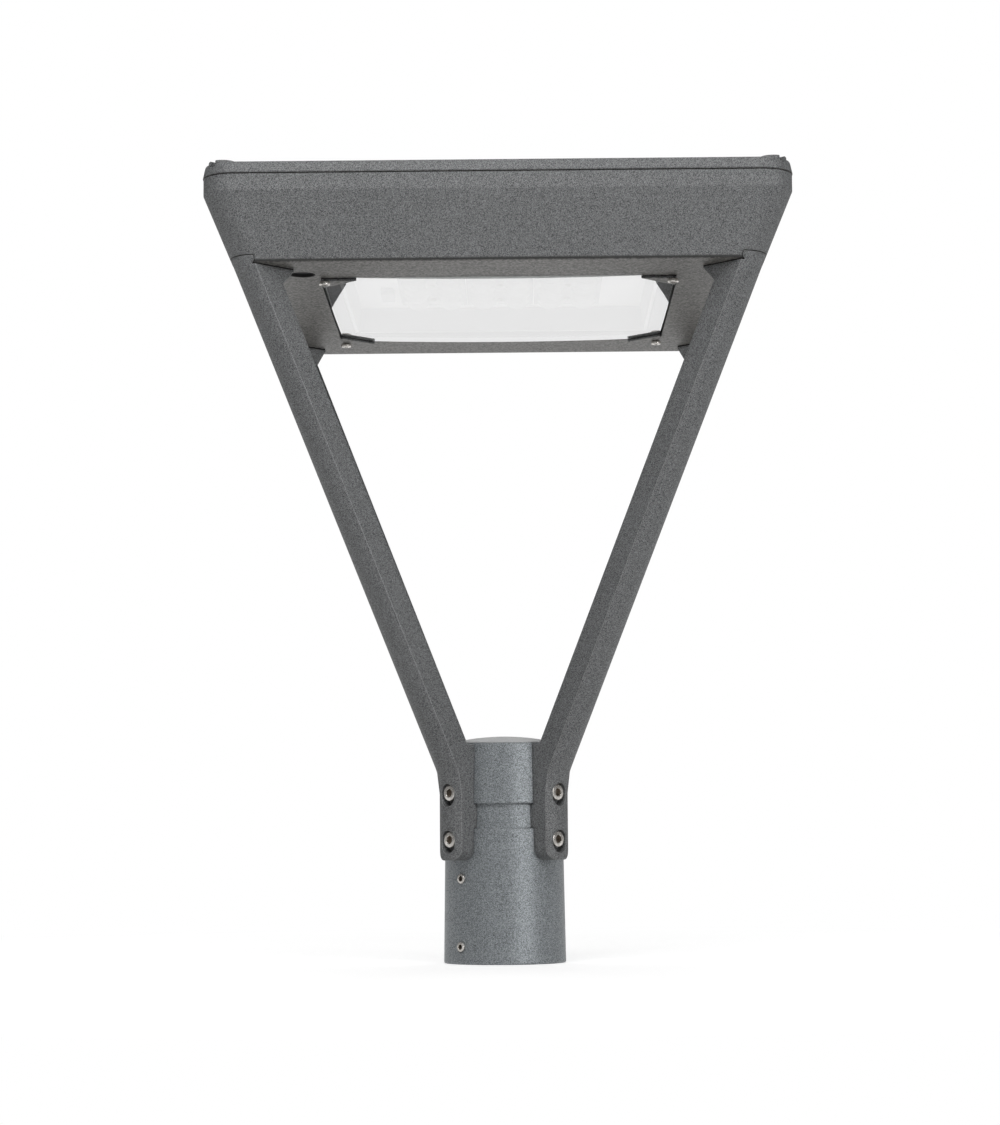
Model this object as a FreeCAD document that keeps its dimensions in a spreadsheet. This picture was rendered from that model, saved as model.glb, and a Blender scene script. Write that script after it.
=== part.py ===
"""Post-top LED street light: a square lamp head on four diagonal legs round a post spigot.

Millimetres, +Z up. The origin is the centre of the spigot's lower rim, and -Y is the front.
Every driving size is a cell of the sheet, and every piece is worked out from those cells.
"""
import FreeCAD
import Part
import Sketcher
import math
import operator
import os
from types import SimpleNamespace

# Driving sizes in millimetres
SIZES = {
    # Fits shared by several pieces
    "fit_gap": 0.2,
    "thread_gap": 0.1,
    # Post spigot and its cap
    "spigot_height": 181.0,
    "spigot_base_radius": 50.75,
    "spigot_top_radius": 48.0,
    "spigot_edge_round": 1.5,
    "post_radius": 38.0,
    "post_clearance": 0.4,
    "post_stop_drop": 89.0,
    "wire_bore_radius": 30.0,
    "collar_height": 50.0,
    "groove_height": 20.0,
    "groove_depth": 3.3,
    "cap_margin": 2.0,
    "cap_edge": 1.0,
    "cap_rise": 6.5,
    "cap_plug_depth": 8.0,
    # Grub screws that clamp the post
    "set_screw_radius": 4.0,
    "set_screw_lower": 14.4,
    "set_screw_drop": 15.0,
    "set_screw_proud": 1.4,
    "set_screw_tip_gap": 0.6,
    "set_screw_socket": 4.0,
    "set_screw_socket_depth": 5.0,
    # Legs
    "leg_width": 26.0,
    "leg_depth": 26.0,
    "leg_foot_reach": 65.8,
    "leg_foot_drop": 36.0,
    "leg_foot_round": 9.0,
    "leg_bend_drop": 28.7,
    "leg_bend_radius": 40.0,
    "leg_ledge_drop": 1.0,
    "leg_flange_length": 45.0,
    "leg_gusset_drop": 12.0,
    "leg_lip_rise": 5.0,
    "leg_lip_thickness": 3.4,
    "leg_lip_gap": 0.7,
    "leg_saddle_gap": 0.5,
    "leg_seal_thickness": 1.3,
    "leg_seal_inset": 0.6,
    # Screws of the leg feet
    "foot_screw_offset": 19.1,
    "foot_screw_radius": 4.0,
    "foot_screw_length": 20.0,
    "foot_head_radius": 6.5,
    "foot_head_height": 8.0,
    "foot_head_sink": 2.3,
    "foot_socket_width": 6.0,
    "foot_socket_depth": 4.0,
    "foot_pocket_gap": 1.0,
    "foot_pocket_drop": 4.0,
    # Screws of the leg tops, inside the head
    "top_screw_inset": 22.0,
    "top_screw_spread": 13.0,
    "top_screw_radius": 3.0,
    "top_screw_length": 30.0,
    "top_head_radius": 5.0,
    "top_head_height": 6.0,
    "top_socket_width": 5.0,
    "top_socket_depth": 3.0,
    "leg_boss_height": 12.0,
    "leg_boss_margin": 4.0,
    # Head housing
    "underside_height": 550.0,
    "head_upper_half": 229.5,
    "head_taper_run": 21.5,
    "lower_corner_radius": 22.0,
    "upper_corner_radius": 25.0,
    "head_taper_height": 52.0,
    "head_band_height": 12.8,
    "head_wall": 3.5,
    "head_floor": 3.5,
    "head_edge_round": 3.0,
    "cavity_corner_radius": 70.0,
    # Blanking plug beside the front left leg
    "plug_leg_gap": 19.4,
    "plug_radius": 10.1,
    "plug_wall": 0.9,
    "plug_dish_depth": 2.4,
    "plug_flange_reach": 1.8,
    "plug_flange_thickness": 1.5,
    # Lid
    "lid_seam": 0.8,
    "lid_height": 9.4,
    "lid_top": 3.0,
    "lid_overhang": 0.5,
    "lid_draft": 1.6,
    "lid_edge_round": 2.0,
    "lid_gasket_inset": 1.0,
    "lid_gasket_width": 2.2,
    "lid_screw_inset": 16.0,
    "lid_boss_radius": 11.0,
    "lid_boss_rise": 2.2,
    "lid_boss_round": 1.2,
    "lid_post_radius": 8.5,
    "lid_post_height": 14.8,
    "lid_screw_radius": 2.5,
    "lid_screw_length": 16.0,
    "lid_head_radius": 4.5,
    "lid_head_height": 4.0,
    "lid_head_sink": 2.2,
    "lid_socket_width": 4.0,
    "lid_socket_depth": 2.5,
    "lid_pocket_gap": 0.8,
    "drain_width": 7.0,
    "drain_depth": 5.2,
    # Window
    "window_margin": 64.4,
    "window_frame_wall": 4.0,
    "window_ledge_width": 14.0,
    "window_ledge_thickness": 3.0,
    "glass_gap": 2.0,
    "glass_thickness": 4.0,
    "glass_lift": 1.0,
    "glass_bulge": 5.0,
    "glass_corner_cut": 17.0,
    "gasket_thickness": 0.8,
    "gasket_width": 11.0,
    "clip_thickness": 1.5,
    "clip_pad_thickness": 0.8,
    "clip_leg": 28.0,
    "clip_gap": 1.5,
    "land_leg": 15.0,
    "clip_screw_inset": 4.0,
    "clip_screw_radius": 2.0,
    "clip_screw_length": 9.0,
    "clip_head_radius": 4.5,
    "clip_head_height": 3.2,
    "clip_socket_width": 3.0,
    "clip_socket_depth": 2.0,
    # Reflector tray and light engine
    "tray_gap": 1.0,
    "tray_sheet": 1.0,
    "tray_rise": 21.2,
    "tray_lean": 3.0,
    "board_side_room": 33.0,
    "board_end_room": 17.6,
    "board_margin": 4.6,
    "board_tail": 18.0,
    "board_thickness": 1.6,
    "lens_module_gap": 1.0,
    "lens_base": 3.5,
    "lens_land": 3.5,
    "lens_rise": 7.2,
    "emitter_width": 3.5,
    "emitter_height": 0.9,
    "emitter_room": 0.6,
    "lens_screw_radius": 1.5,
    "lens_screw_grip": 3.0,
    "lens_head_radius": 2.8,
    "lens_head_height": 1.8,
    "lens_socket_width": 2.0,
    "lens_socket_depth": 1.0,
    "connector_length": 36.0,
    "connector_width": 11.0,
    "connector_height": 5.5,
    "connector_along": 43.0,
    # Gear plate and what it carries
    "gear_plate_end_room": 38.0,
    "gear_plate_side_room": 108.0,
    "gear_plate_thickness": 4.0,
    "gear_post_radius": 6.0,
    "gear_post_end_inset": 8.0,
    "gear_post_side_inset": 15.0,
    "gear_screw_radius": 2.0,
    "gear_screw_length": 12.0,
    "gear_head_radius": 3.5,
    "gear_head_height": 3.0,
    "gear_socket_width": 3.0,
    "gear_socket_depth": 1.8,
    "driver_length": 150.0,
    "driver_width": 62.0,
    "driver_height": 30.0,
    "driver_round": 4.0,
    "driver_foot_length": 176.0,
    "driver_foot_thickness": 3.0,
    "surge_length": 46.0,
    "surge_width": 30.0,
    "surge_height": 22.0,
    "surge_round": 3.0,
    "surge_along": 55.0,
    "terminal_pole": 12.0,
    "terminal_width": 22.0,
    "terminal_height": 18.0,
    "terminal_wire_radius": 2.5,
    "terminal_screw_radius": 1.8,
    "terminal_along": 60.0,
}
# Each leg, clip and corner by name, with the angle of its diagonal
CORNERS = {"front_left": 225.0, "front_right": 315.0, "rear_right": 45.0, "rear_left": 135.0}
LEG_SCREW_ROWS = (-1, 1)
LENS_MODULES_A_SIDE = 3
TERMINAL_POLES = 3
ROOT_TWO = math.sqrt(2.0)
ROOT_THREE = math.sqrt(3.0)
# Where a quarter round is at 45 degrees, as a share of its radius
ROUND_SHOULDER = 1 - 1 / ROOT_TWO
QUARTER_TURN = 90.0
HALF_TURN = 180.0
FULL_TURN = 360.0
HEXAGON_SIDES = 6
# Points closer than this count as one place, and a cut takes away more than this
TOUCHING = 1e-4
SMALLEST_CUT = 1e-3
CUBIC_MM_IN_CUBIC_CM = 1000.0
OPERATORS = {"+": operator.add, "-": operator.sub, "*": operator.mul, "/": operator.truediv}


class Dim:
    """A length that carries its number and the sheet expression that gives it."""

    def __init__(self, text, value):
        self.text = text
        self.value = value

    def __add__(self, other):
        return combine(self, "+", other)

    def __radd__(self, other):
        return combine(other, "+", self)

    def __sub__(self, other):
        return combine(self, "-", other)

    def __rsub__(self, other):
        return combine(other, "-", self)

    def __mul__(self, other):
        return combine(self, "*", other)

    def __rmul__(self, other):
        return combine(other, "*", self)

    def __truediv__(self, other):
        return combine(self, "/", other)

    def __rtruediv__(self, other):
        return combine(other, "/", self)

    def __neg__(self):
        return combine(0, "-", self)


def dim(length):
    """Give a plain number the same form as a size from the sheet."""
    if isinstance(length, Dim):
        return length
    return Dim(f"({float(length)!r})", float(length))


def combine(first, sign, second):
    """Work out one step of arithmetic, as a number and as an expression."""
    first = dim(first)
    second = dim(second)
    value = OPERATORS[sign](first.value, second.value)
    return Dim(f"({first.text} {sign} {second.text})", value)


def root(length):
    """Square root of a size."""
    return Dim(f"sqrt({length.text})", math.sqrt(length.value))


doc = FreeCAD.newDocument("led_street_light")
sheet = doc.addObject("Spreadsheet::Sheet", "Sizes")
for row, (alias, number) in enumerate(SIZES.items(), start=1):
    sheet.set(f"A{row}", alias)
    sheet.set(f"B{row}", str(number))
    sheet.setAlias(f"B{row}", alias)
doc.recompute()
size = SimpleNamespace(**{alias: Dim(f"Sizes.{alias}", number) for alias, number in SIZES.items()})
pieces = {}


# Helpers for binding, sketching and features
def bind(target, property_name, length):
    """Tie one property of an object to the sheet."""
    target.setExpression(property_name, dim(length).text)


def keep(node_name, target):
    """Register a finished piece under its node name."""
    target.Label = node_name
    pieces[node_name] = target
    return target


def new_body(node_name, angle=0.0):
    """Start a piece, turned about the upright axis."""
    body = doc.addObject("PartDesign::Body", node_name)
    body.Placement.Rotation = FreeCAD.Rotation(FreeCAD.Vector(0, 0, 1), angle)
    return keep(node_name, body)


def origin_feature(body, role):
    """Find one of a body's own origin planes or axes."""
    return next(feature for feature in body.Origin.OriginFeatures if feature.Role == role)


def new_sketch(body, role="XY_Plane", offset=0):
    """Start a sketch on a body's origin plane, moved along that plane's normal."""
    sketch = body.newObject("Sketcher::SketchObject", "Sketch")
    sketch.AttachmentSupport = [(origin_feature(body, role), "")]
    sketch.MapMode = "FlatFace"
    bind(sketch, "AttachmentOffset.Base.z", offset)
    return sketch


def constrain(sketch, length, kind, *where):
    """Add a dimension to a sketch and tie it to the sheet."""
    index = sketch.addConstraint(Sketcher.Constraint(kind, *where, dim(length).value))
    bind(sketch, f"Constraints[{index}]", length)


def pin(sketch, geometry, point, x, y):
    """Hold one point of a sketch at a place from the origin; a plain 0 keeps it on the axis."""
    for kind, axis, place in (("DistanceX", -2, x), ("DistanceY", -1, y)):
        if isinstance(place, Dim):
            constrain(sketch, place, kind, -1, 1, geometry, point)
        else:
            sketch.addConstraint(Sketcher.Constraint("PointOnObject", geometry, point, axis))


def flat(point):
    """A sketch point as a vector."""
    return FreeCAD.Vector(dim(point[0]).value, dim(point[1]).value, 0)


def arc_between(start, end, radius, turn):
    """Arc of under half a turn from start to end, anticlockwise where turn is 1."""
    chord = end - start
    side = FreeCAD.Vector(-chord.y, chord.x, 0).normalize()
    rise = math.sqrt(radius ** 2 - (chord.Length / 2) ** 2)
    centre = (start + end) / 2 + side * (turn * rise)
    first, last = (start, end) if turn > 0 else (end, start)
    angles = [math.atan2(spot.y - centre.y, spot.x - centre.x) for spot in (first, last)]
    circle = Part.Circle(centre, FreeCAD.Vector(0, 0, 1), radius)
    return Part.ArcOfCircle(circle, *angles)


def outline(sketch, points, arcs=None, closed=True):
    """Draw a chain through the points; arcs gives (radius, turn) for the segments that bend."""
    arcs = arcs or {}
    last = len(points) if closed else len(points) - 1
    ends = []
    for index in range(last):
        start = flat(points[index])
        end = flat(points[(index + 1) % len(points)])
        if index in arcs:
            radius, turn = arcs[index]
            geometry = sketch.addGeometry(arc_between(start, end, dim(radius).value, turn))
            constrain(sketch, radius, "Radius", geometry)
            ends.append((geometry, 1, 2) if turn > 0 else (geometry, 2, 1))
        else:
            geometry = sketch.addGeometry(Part.LineSegment(start, end))
            ends.append((geometry, 1, 2))
    for index, (geometry, first, second) in enumerate(ends):
        pin(sketch, geometry, first, *points[index])
        if closed or index < last - 1:
            following = ends[(index + 1) % last]
            join = Sketcher.Constraint("Coincident", geometry, second, following[0], following[1])
            sketch.addConstraint(join)
        else:
            pin(sketch, geometry, second, *points[-1])
    return sketch


def circle(sketch, x, y, radius):
    """Draw a circle held at its centre."""
    middle = flat((x, y))
    geometry = sketch.addGeometry(Part.Circle(middle, FreeCAD.Vector(0, 0, 1), dim(radius).value))
    pin(sketch, geometry, 3, x, y)
    constrain(sketch, radius, "Radius", geometry)
    return sketch


def round_ended_chain(sketch, centres, radius):
    """Join equal arcs about the given centres by tangent lines, going anticlockwise."""
    count = len(centres)
    spots = [flat(centre) for centre in centres]
    normals = []
    for index in range(count):
        along = (spots[(index + 1) % count] - spots[index]).normalize()
        normals.append(FreeCAD.Vector(along.y, -along.x, 0))
    arcs = []
    lines = []
    for index, spot in enumerate(spots):
        before = normals[index - 1]
        after = normals[index]
        round_line = Part.Circle(spot, FreeCAD.Vector(0, 0, 1), dim(radius).value)
        angles = [math.atan2(normal.y, normal.x) for normal in (before, after)]
        arcs.append(sketch.addGeometry(Part.ArcOfCircle(round_line, *angles)))
        reach = after * dim(radius).value
        line = Part.LineSegment(spot + reach, spots[(index + 1) % count] + reach)
        lines.append(sketch.addGeometry(line))
    for index in range(count):
        following = arcs[(index + 1) % count]
        pin(sketch, arcs[index], 3, *centres[index])
        sketch.addConstraint(Sketcher.Constraint("Tangent", arcs[index], 2, lines[index], 1))
        sketch.addConstraint(Sketcher.Constraint("Tangent", lines[index], 2, following, 1))
        if index:
            sketch.addConstraint(Sketcher.Constraint("Equal", arcs[0], arcs[index]))
    constrain(sketch, radius, "Radius", arcs[0])
    return sketch


def rounded_square(sketch, half, radius):
    """Draw a square about the origin with rounded corners."""
    inner = half - radius
    centres = ((inner, inner), (-inner, inner), (-inner, -inner), (inner, -inner))
    return round_ended_chain(sketch, centres, radius)


def rounded_squares(body, sections):
    """Sketch one rounded square for each height, half width and corner radius."""
    return [
        rounded_square(new_sketch(body, offset=level), half, radius)
        for level, half, radius in sections
    ]


def square(sketch, half):
    """Draw a sharp square about the origin."""
    return outline(sketch, ((half, half), (-half, half), (-half, -half), (half, -half)))


def cut_corner_square(sketch, half, cut):
    """Draw a square about the origin with its corners cut off at 45 degrees."""
    short = half - cut
    points = ((half, -short), (half, short), (short, half), (-short, half))
    points += ((-half, short), (-half, -short), (-short, -half), (short, -half))
    return outline(sketch, points)


def rectangle(sketch, centre, length, width):
    """Draw a rectangle along the axes about a centre."""
    x, y = centre
    left = x - length / 2
    right = x + length / 2
    front = y - width / 2
    back = y + width / 2
    return outline(sketch, ((right, back), (left, back), (left, front), (right, front)))


def on_diagonal(corner, along, across=0):
    """Plan position at a distance out along a corner's diagonal and a distance across it."""
    side_x = round(math.cos(math.radians(CORNERS[corner])) * ROOT_TWO)
    side_y = round(math.sin(math.radians(CORNERS[corner])) * ROOT_TWO)
    x = (along * side_x - across * side_y) / ROOT_TWO
    y = (along * side_y + across * side_x) / ROOT_TWO
    return x, y


def diagonal_bars(sketch, near, far, half):
    """Draw a rectangle over each corner's diagonal, between two reaches."""
    ends = ((near, -half), (far, -half), (far, half), (near, half))
    for corner in CORNERS:
        outline(sketch, [on_diagonal(corner, along, across) for along, across in ends])
    return sketch


def circles(sketch, spots, radius):
    """Draw equal circles about several places."""
    for spot in spots:
        circle(sketch, *spot, radius)
    return sketch


def extrude(kind, sketch, length, side="One side", backwards=False):
    """Pad or pocket a sketch in the body that holds it."""
    feature = sketch.getParentGeoFeatureGroup().newObject(f"PartDesign::{kind}", kind)
    feature.Profile = sketch
    feature.SideType = side
    feature.Reversed = backwards
    bind(feature, "Length", length)
    sketch.Visibility = False
    return feature


def turn_about_axis(kind, sketch):
    """Revolve or groove a sketch right round the body's upright axis."""
    body = sketch.getParentGeoFeatureGroup()
    feature = body.newObject(f"PartDesign::{kind}", kind)
    feature.Profile = sketch
    feature.ReferenceAxis = (origin_feature(body, "Z_Axis"), [""])
    feature.Angle = FULL_TURN
    return feature


def loft(kind, sketches):
    """Join sketches at different heights by straight walls."""
    feature = sketches[0].getParentGeoFeatureGroup().newObject(f"PartDesign::{kind}", kind)
    feature.Profile = sketches[0]
    feature.Sections = sketches[1:]
    feature.Ruled = True
    return feature


def round_edges(body, radius, chosen):
    """Fillet the edges of the body so far that the chosen test picks."""
    doc.recompute()
    base = body.Tip
    names = [f"Edge{n}" for n, edge in enumerate(base.Shape.Edges, start=1) if chosen(edge)]
    feature = body.newObject("PartDesign::Fillet", "Fillet")
    feature.Base = (base, names)
    bind(feature, "Radius", radius)
    return feature


def level_edge(edge, height):
    """True where a whole edge lies at one height."""
    levels = [vertex.Z for vertex in edge.Vertexes] + [edge.CenterOfMass.z]
    return all(abs(level - height) < TOUCHING for level in levels)


def upright_edge(edge):
    """True where an edge climbs from one height to another."""
    return abs(edge.Vertexes[0].Z - edge.Vertexes[-1].Z) > TOUCHING


def put(target, x, y, z):
    """Tie an object's place to the sheet."""
    for axis, place in zip("xyz", (x, y, z)):
        bind(target, f"Placement.Base.{axis}", place)
    return target


def cylinder(radius, height, x=0, y=0, z=0):
    """Upright round bar standing on a point."""
    made = doc.addObject("Part::Cylinder", "Cylinder")
    bind(made, "Radius", radius)
    bind(made, "Height", height)
    return put(made, x, y, z)


def box(length, width, height, x, y, z):
    """Block standing on z and centred over x and y."""
    made = doc.addObject("Part::Box", "Box")
    bind(made, "Length", length)
    bind(made, "Width", width)
    bind(made, "Height", height)
    return put(made, x - length / 2, y - width / 2, z)


def boolean(kind, base, tool):
    """Cut or fuse two objects."""
    made = doc.addObject(f"Part::{kind}", kind)
    made.Base = base
    made.Tool = tool
    return made


def hex_bar(width, height, z):
    """Hexagonal bar, sized across its flats."""
    made = doc.addObject("Part::Prism", "HexBar")
    made.Polygon = HEXAGON_SIDES
    bind(made, "Circumradius", width / ROOT_THREE)
    bind(made, "Height", height)
    return put(made, 0, 0, z)


def screw(family, length=None):
    """Socket screw with one family of sizes; its origin is under the head, which points up."""
    sizes = vars(size)
    head_height = sizes[f"{family}_head_height"]
    socket_depth = sizes[f"{family}_socket_depth"]
    shank_length = length or sizes[f"{family}_screw_length"]
    head = cylinder(sizes[f"{family}_head_radius"], head_height)
    shank = cylinder(sizes[f"{family}_screw_radius"], shank_length, z=-shank_length)
    socket = hex_bar(sizes[f"{family}_socket_width"], socket_depth, head_height - socket_depth)
    return boolean("Cut", boolean("Fuse", head, shank), socket)


def group(node_name, members):
    """Gather identical pieces in one node, each its own solid."""
    made = doc.addObject("Part::Compound", "Group")
    made.Links = members
    return keep(node_name, made)


# Heights and reaches worked out from the driving sizes
head_lower_half = size.head_upper_half - size.head_taper_run
corner_reach = (head_lower_half - size.lower_corner_radius) * ROOT_TWO + size.lower_corner_radius
post_stop = size.spigot_height - size.post_stop_drop
groove_top = size.spigot_height - size.collar_height
groove_bottom = groove_top - size.groove_height
groove_middle = groove_top - size.groove_height / 2
foot_bottom = groove_middle - size.leg_foot_drop
set_screw_heights = (size.set_screw_lower, foot_bottom - size.set_screw_drop)
bend_height = size.spigot_height - size.leg_bend_drop
ledge_height = size.spigot_height - size.leg_ledge_drop
leg_top = size.underside_height - size.leg_seal_thickness
lip_top = size.underside_height + size.leg_lip_rise
lean = (corner_reach - size.leg_foot_reach) / (size.underside_height - bend_height)
foot_seat = size.leg_foot_reach - size.foot_head_sink - size.foot_head_height
foot_screw_heights = [groove_middle + side * size.foot_screw_offset for side in LEG_SCREW_ROWS]
plug_reach = corner_reach - size.leg_flange_length - size.plug_leg_gap
plug_spot = on_diagonal("front_left", plug_reach)
top_screw_reach = corner_reach - size.top_screw_inset
top_screw_rows = [(top_screw_reach, size.top_screw_spread / 2 * side) for side in LEG_SCREW_ROWS]
boss_top = size.underside_height + size.leg_boss_height
floor_top = size.underside_height + size.head_floor
crease_height = size.underside_height + size.head_taper_height
rim_height = crease_height + size.head_band_height
lid_bottom = rim_height + size.lid_seam
lid_edge_top = lid_bottom + size.lid_height
boss_crown = lid_edge_top + size.lid_boss_rise
lid_screw_reach = (size.head_upper_half - size.lid_screw_inset) * ROOT_TWO
lid_screw_spots = [on_diagonal(corner, lid_screw_reach) for corner in CORNERS]
lid_screw_seat = boss_crown - size.lid_head_sink - size.lid_head_height
window_half = head_lower_half - size.window_margin
clip_screw_reach = (window_half - size.clip_screw_inset) * ROOT_TWO
clip_screw_spots = [on_diagonal(corner, clip_screw_reach) for corner in CORNERS]
pad_bottom = size.underside_height - size.clip_pad_thickness
clip_bottom = pad_bottom - size.clip_thickness
glass_half = window_half - size.glass_gap
glass_bottom = size.underside_height + size.glass_lift
glass_top = glass_bottom + size.glass_thickness
gasket_top = glass_top + size.gasket_thickness
ledge_bottom = gasket_top + size.tray_sheet
ledge_top = ledge_bottom + size.window_ledge_thickness
ledge_half = window_half - size.window_ledge_width
tray_outer_half = ledge_half - size.tray_gap
tray_top_half = tray_outer_half - size.tray_lean
tray_ceiling = gasket_top + size.tray_rise
plate_bottom = tray_ceiling + size.tray_sheet
plate_top = plate_bottom + size.gear_plate_thickness
board_half = tray_top_half - size.tray_sheet - size.board_side_room
board_end = tray_top_half - size.tray_sheet - size.board_end_room
board_bottom = tray_ceiling - size.board_thickness
lens_base_bottom = board_bottom - size.lens_base
lens_pitch = (board_half - size.board_margin) / LENS_MODULES_A_SIDE
lens_radius = lens_pitch / 2 - size.lens_land
module_pitch = lens_pitch * 2
module_rows = [module_pitch * (n - (LENS_MODULES_A_SIDE - 1) / 2) for n in range(LENS_MODULES_A_SIDE)]
module_spots = [(x, y) for y in module_rows for x in module_rows]
gear_plate_length = (head_lower_half - size.gear_plate_end_room) * 2
gear_plate_width = (head_lower_half - size.gear_plate_side_room) * 2
gear_row = gear_plate_width / 4
post_x = gear_plate_length / 2 - size.gear_post_end_inset
post_y = gear_plate_width / 2 - size.gear_post_side_inset
gear_posts = [(post_x * side_x, post_y * side_y) for side_x in (-1, 1) for side_y in (-1, 1)]


def spigot_radius(height):
    """Outer radius of the tapered spigot at a height."""
    taper = (size.spigot_base_radius - size.spigot_top_radius) / size.spigot_height
    return size.spigot_base_radius - taper * height


def leg_inner_line(height):
    """Distance of the leaning leg's inner face from the axis at a height."""
    return size.leg_foot_reach + lean * (height - bend_height) - size.leg_depth


def corner_sag(half):
    """How far the head's rounded lower corner falls back at a half width from its diagonal."""
    radius = size.lower_corner_radius
    return radius - root(radius * radius - half * half)


def cap_sphere(rim, rise):
    """Radius of the sphere that a round cap of this rim radius and rise belongs to."""
    return (rim * rim + rise * rise) / (rise * 2)


# Post spigot: a tapered cast sleeve, bored for the post and grooved for the leg keys
def make_spigot():
    body = new_body("post_spigot", CORNERS["rear_right"])
    bore = size.post_radius + size.post_clearance
    edge = size.spigot_edge_round
    profile = (
        (bore, 0),
        (size.spigot_base_radius - edge, 0),
        (spigot_radius(edge), edge),
        (spigot_radius(groove_bottom), groove_bottom),
        (spigot_radius(groove_bottom) - size.groove_depth, groove_bottom),
        (spigot_radius(groove_top) - size.groove_depth, groove_top),
        (spigot_radius(groove_top), groove_top),
        (size.spigot_top_radius, size.spigot_height),
        (size.wire_bore_radius, size.spigot_height),
        (size.wire_bore_radius, post_stop),
        (bore, post_stop),
    )
    turn_about_axis("Revolution", outline(new_sketch(body, "XZ_Plane"), profile, {1: (edge, 1)}))
    # Tapped holes for the leg screws, repeated under the four legs
    hole_start = foot_seat - size.foot_screw_length - size.thread_gap
    sketch = new_sketch(body, "YZ_Plane", hole_start)
    for height in foot_screw_heights:
        circle(sketch, 0, height, size.foot_screw_radius + size.thread_gap)
    holes = extrude("Pocket", sketch, size.spigot_base_radius - hole_start, backwards=True)
    ring = body.newObject("PartDesign::PolarPattern", "PolarPattern")
    ring.Originals = [holes]
    ring.Axis = (origin_feature(body, "Z_Axis"), [""])
    ring.Angle = FULL_TURN
    ring.Occurrences = len(CORNERS)
    body.Tip = ring
    # Tapped holes for the grub screws, below the front left leg
    sketch = new_sketch(body, "YZ_Plane", -size.wire_bore_radius)
    for height in set_screw_heights:
        circle(sketch, 0, height, size.set_screw_radius + size.thread_gap)
    extrude("Pocket", sketch, size.spigot_base_radius)


# Cap: a shallow dome whose plug closes the wire bore
def make_cap():
    body = new_body("spigot_cap")
    plug = size.wire_bore_radius - size.fit_gap
    rim = size.spigot_top_radius - size.cap_margin
    dome_rise = size.cap_rise - size.cap_edge
    dome = cap_sphere(rim, dome_rise)
    top = size.spigot_height
    profile = (
        (0, top - size.cap_plug_depth),
        (plug, top - size.cap_plug_depth),
        (plug, top),
        (rim, top),
        (rim, top + size.cap_edge),
        (0, top + size.cap_rise),
    )
    turn_about_axis("Revolution", outline(new_sketch(body, "XZ_Plane"), profile, {4: (dome, 1)}))


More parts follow.
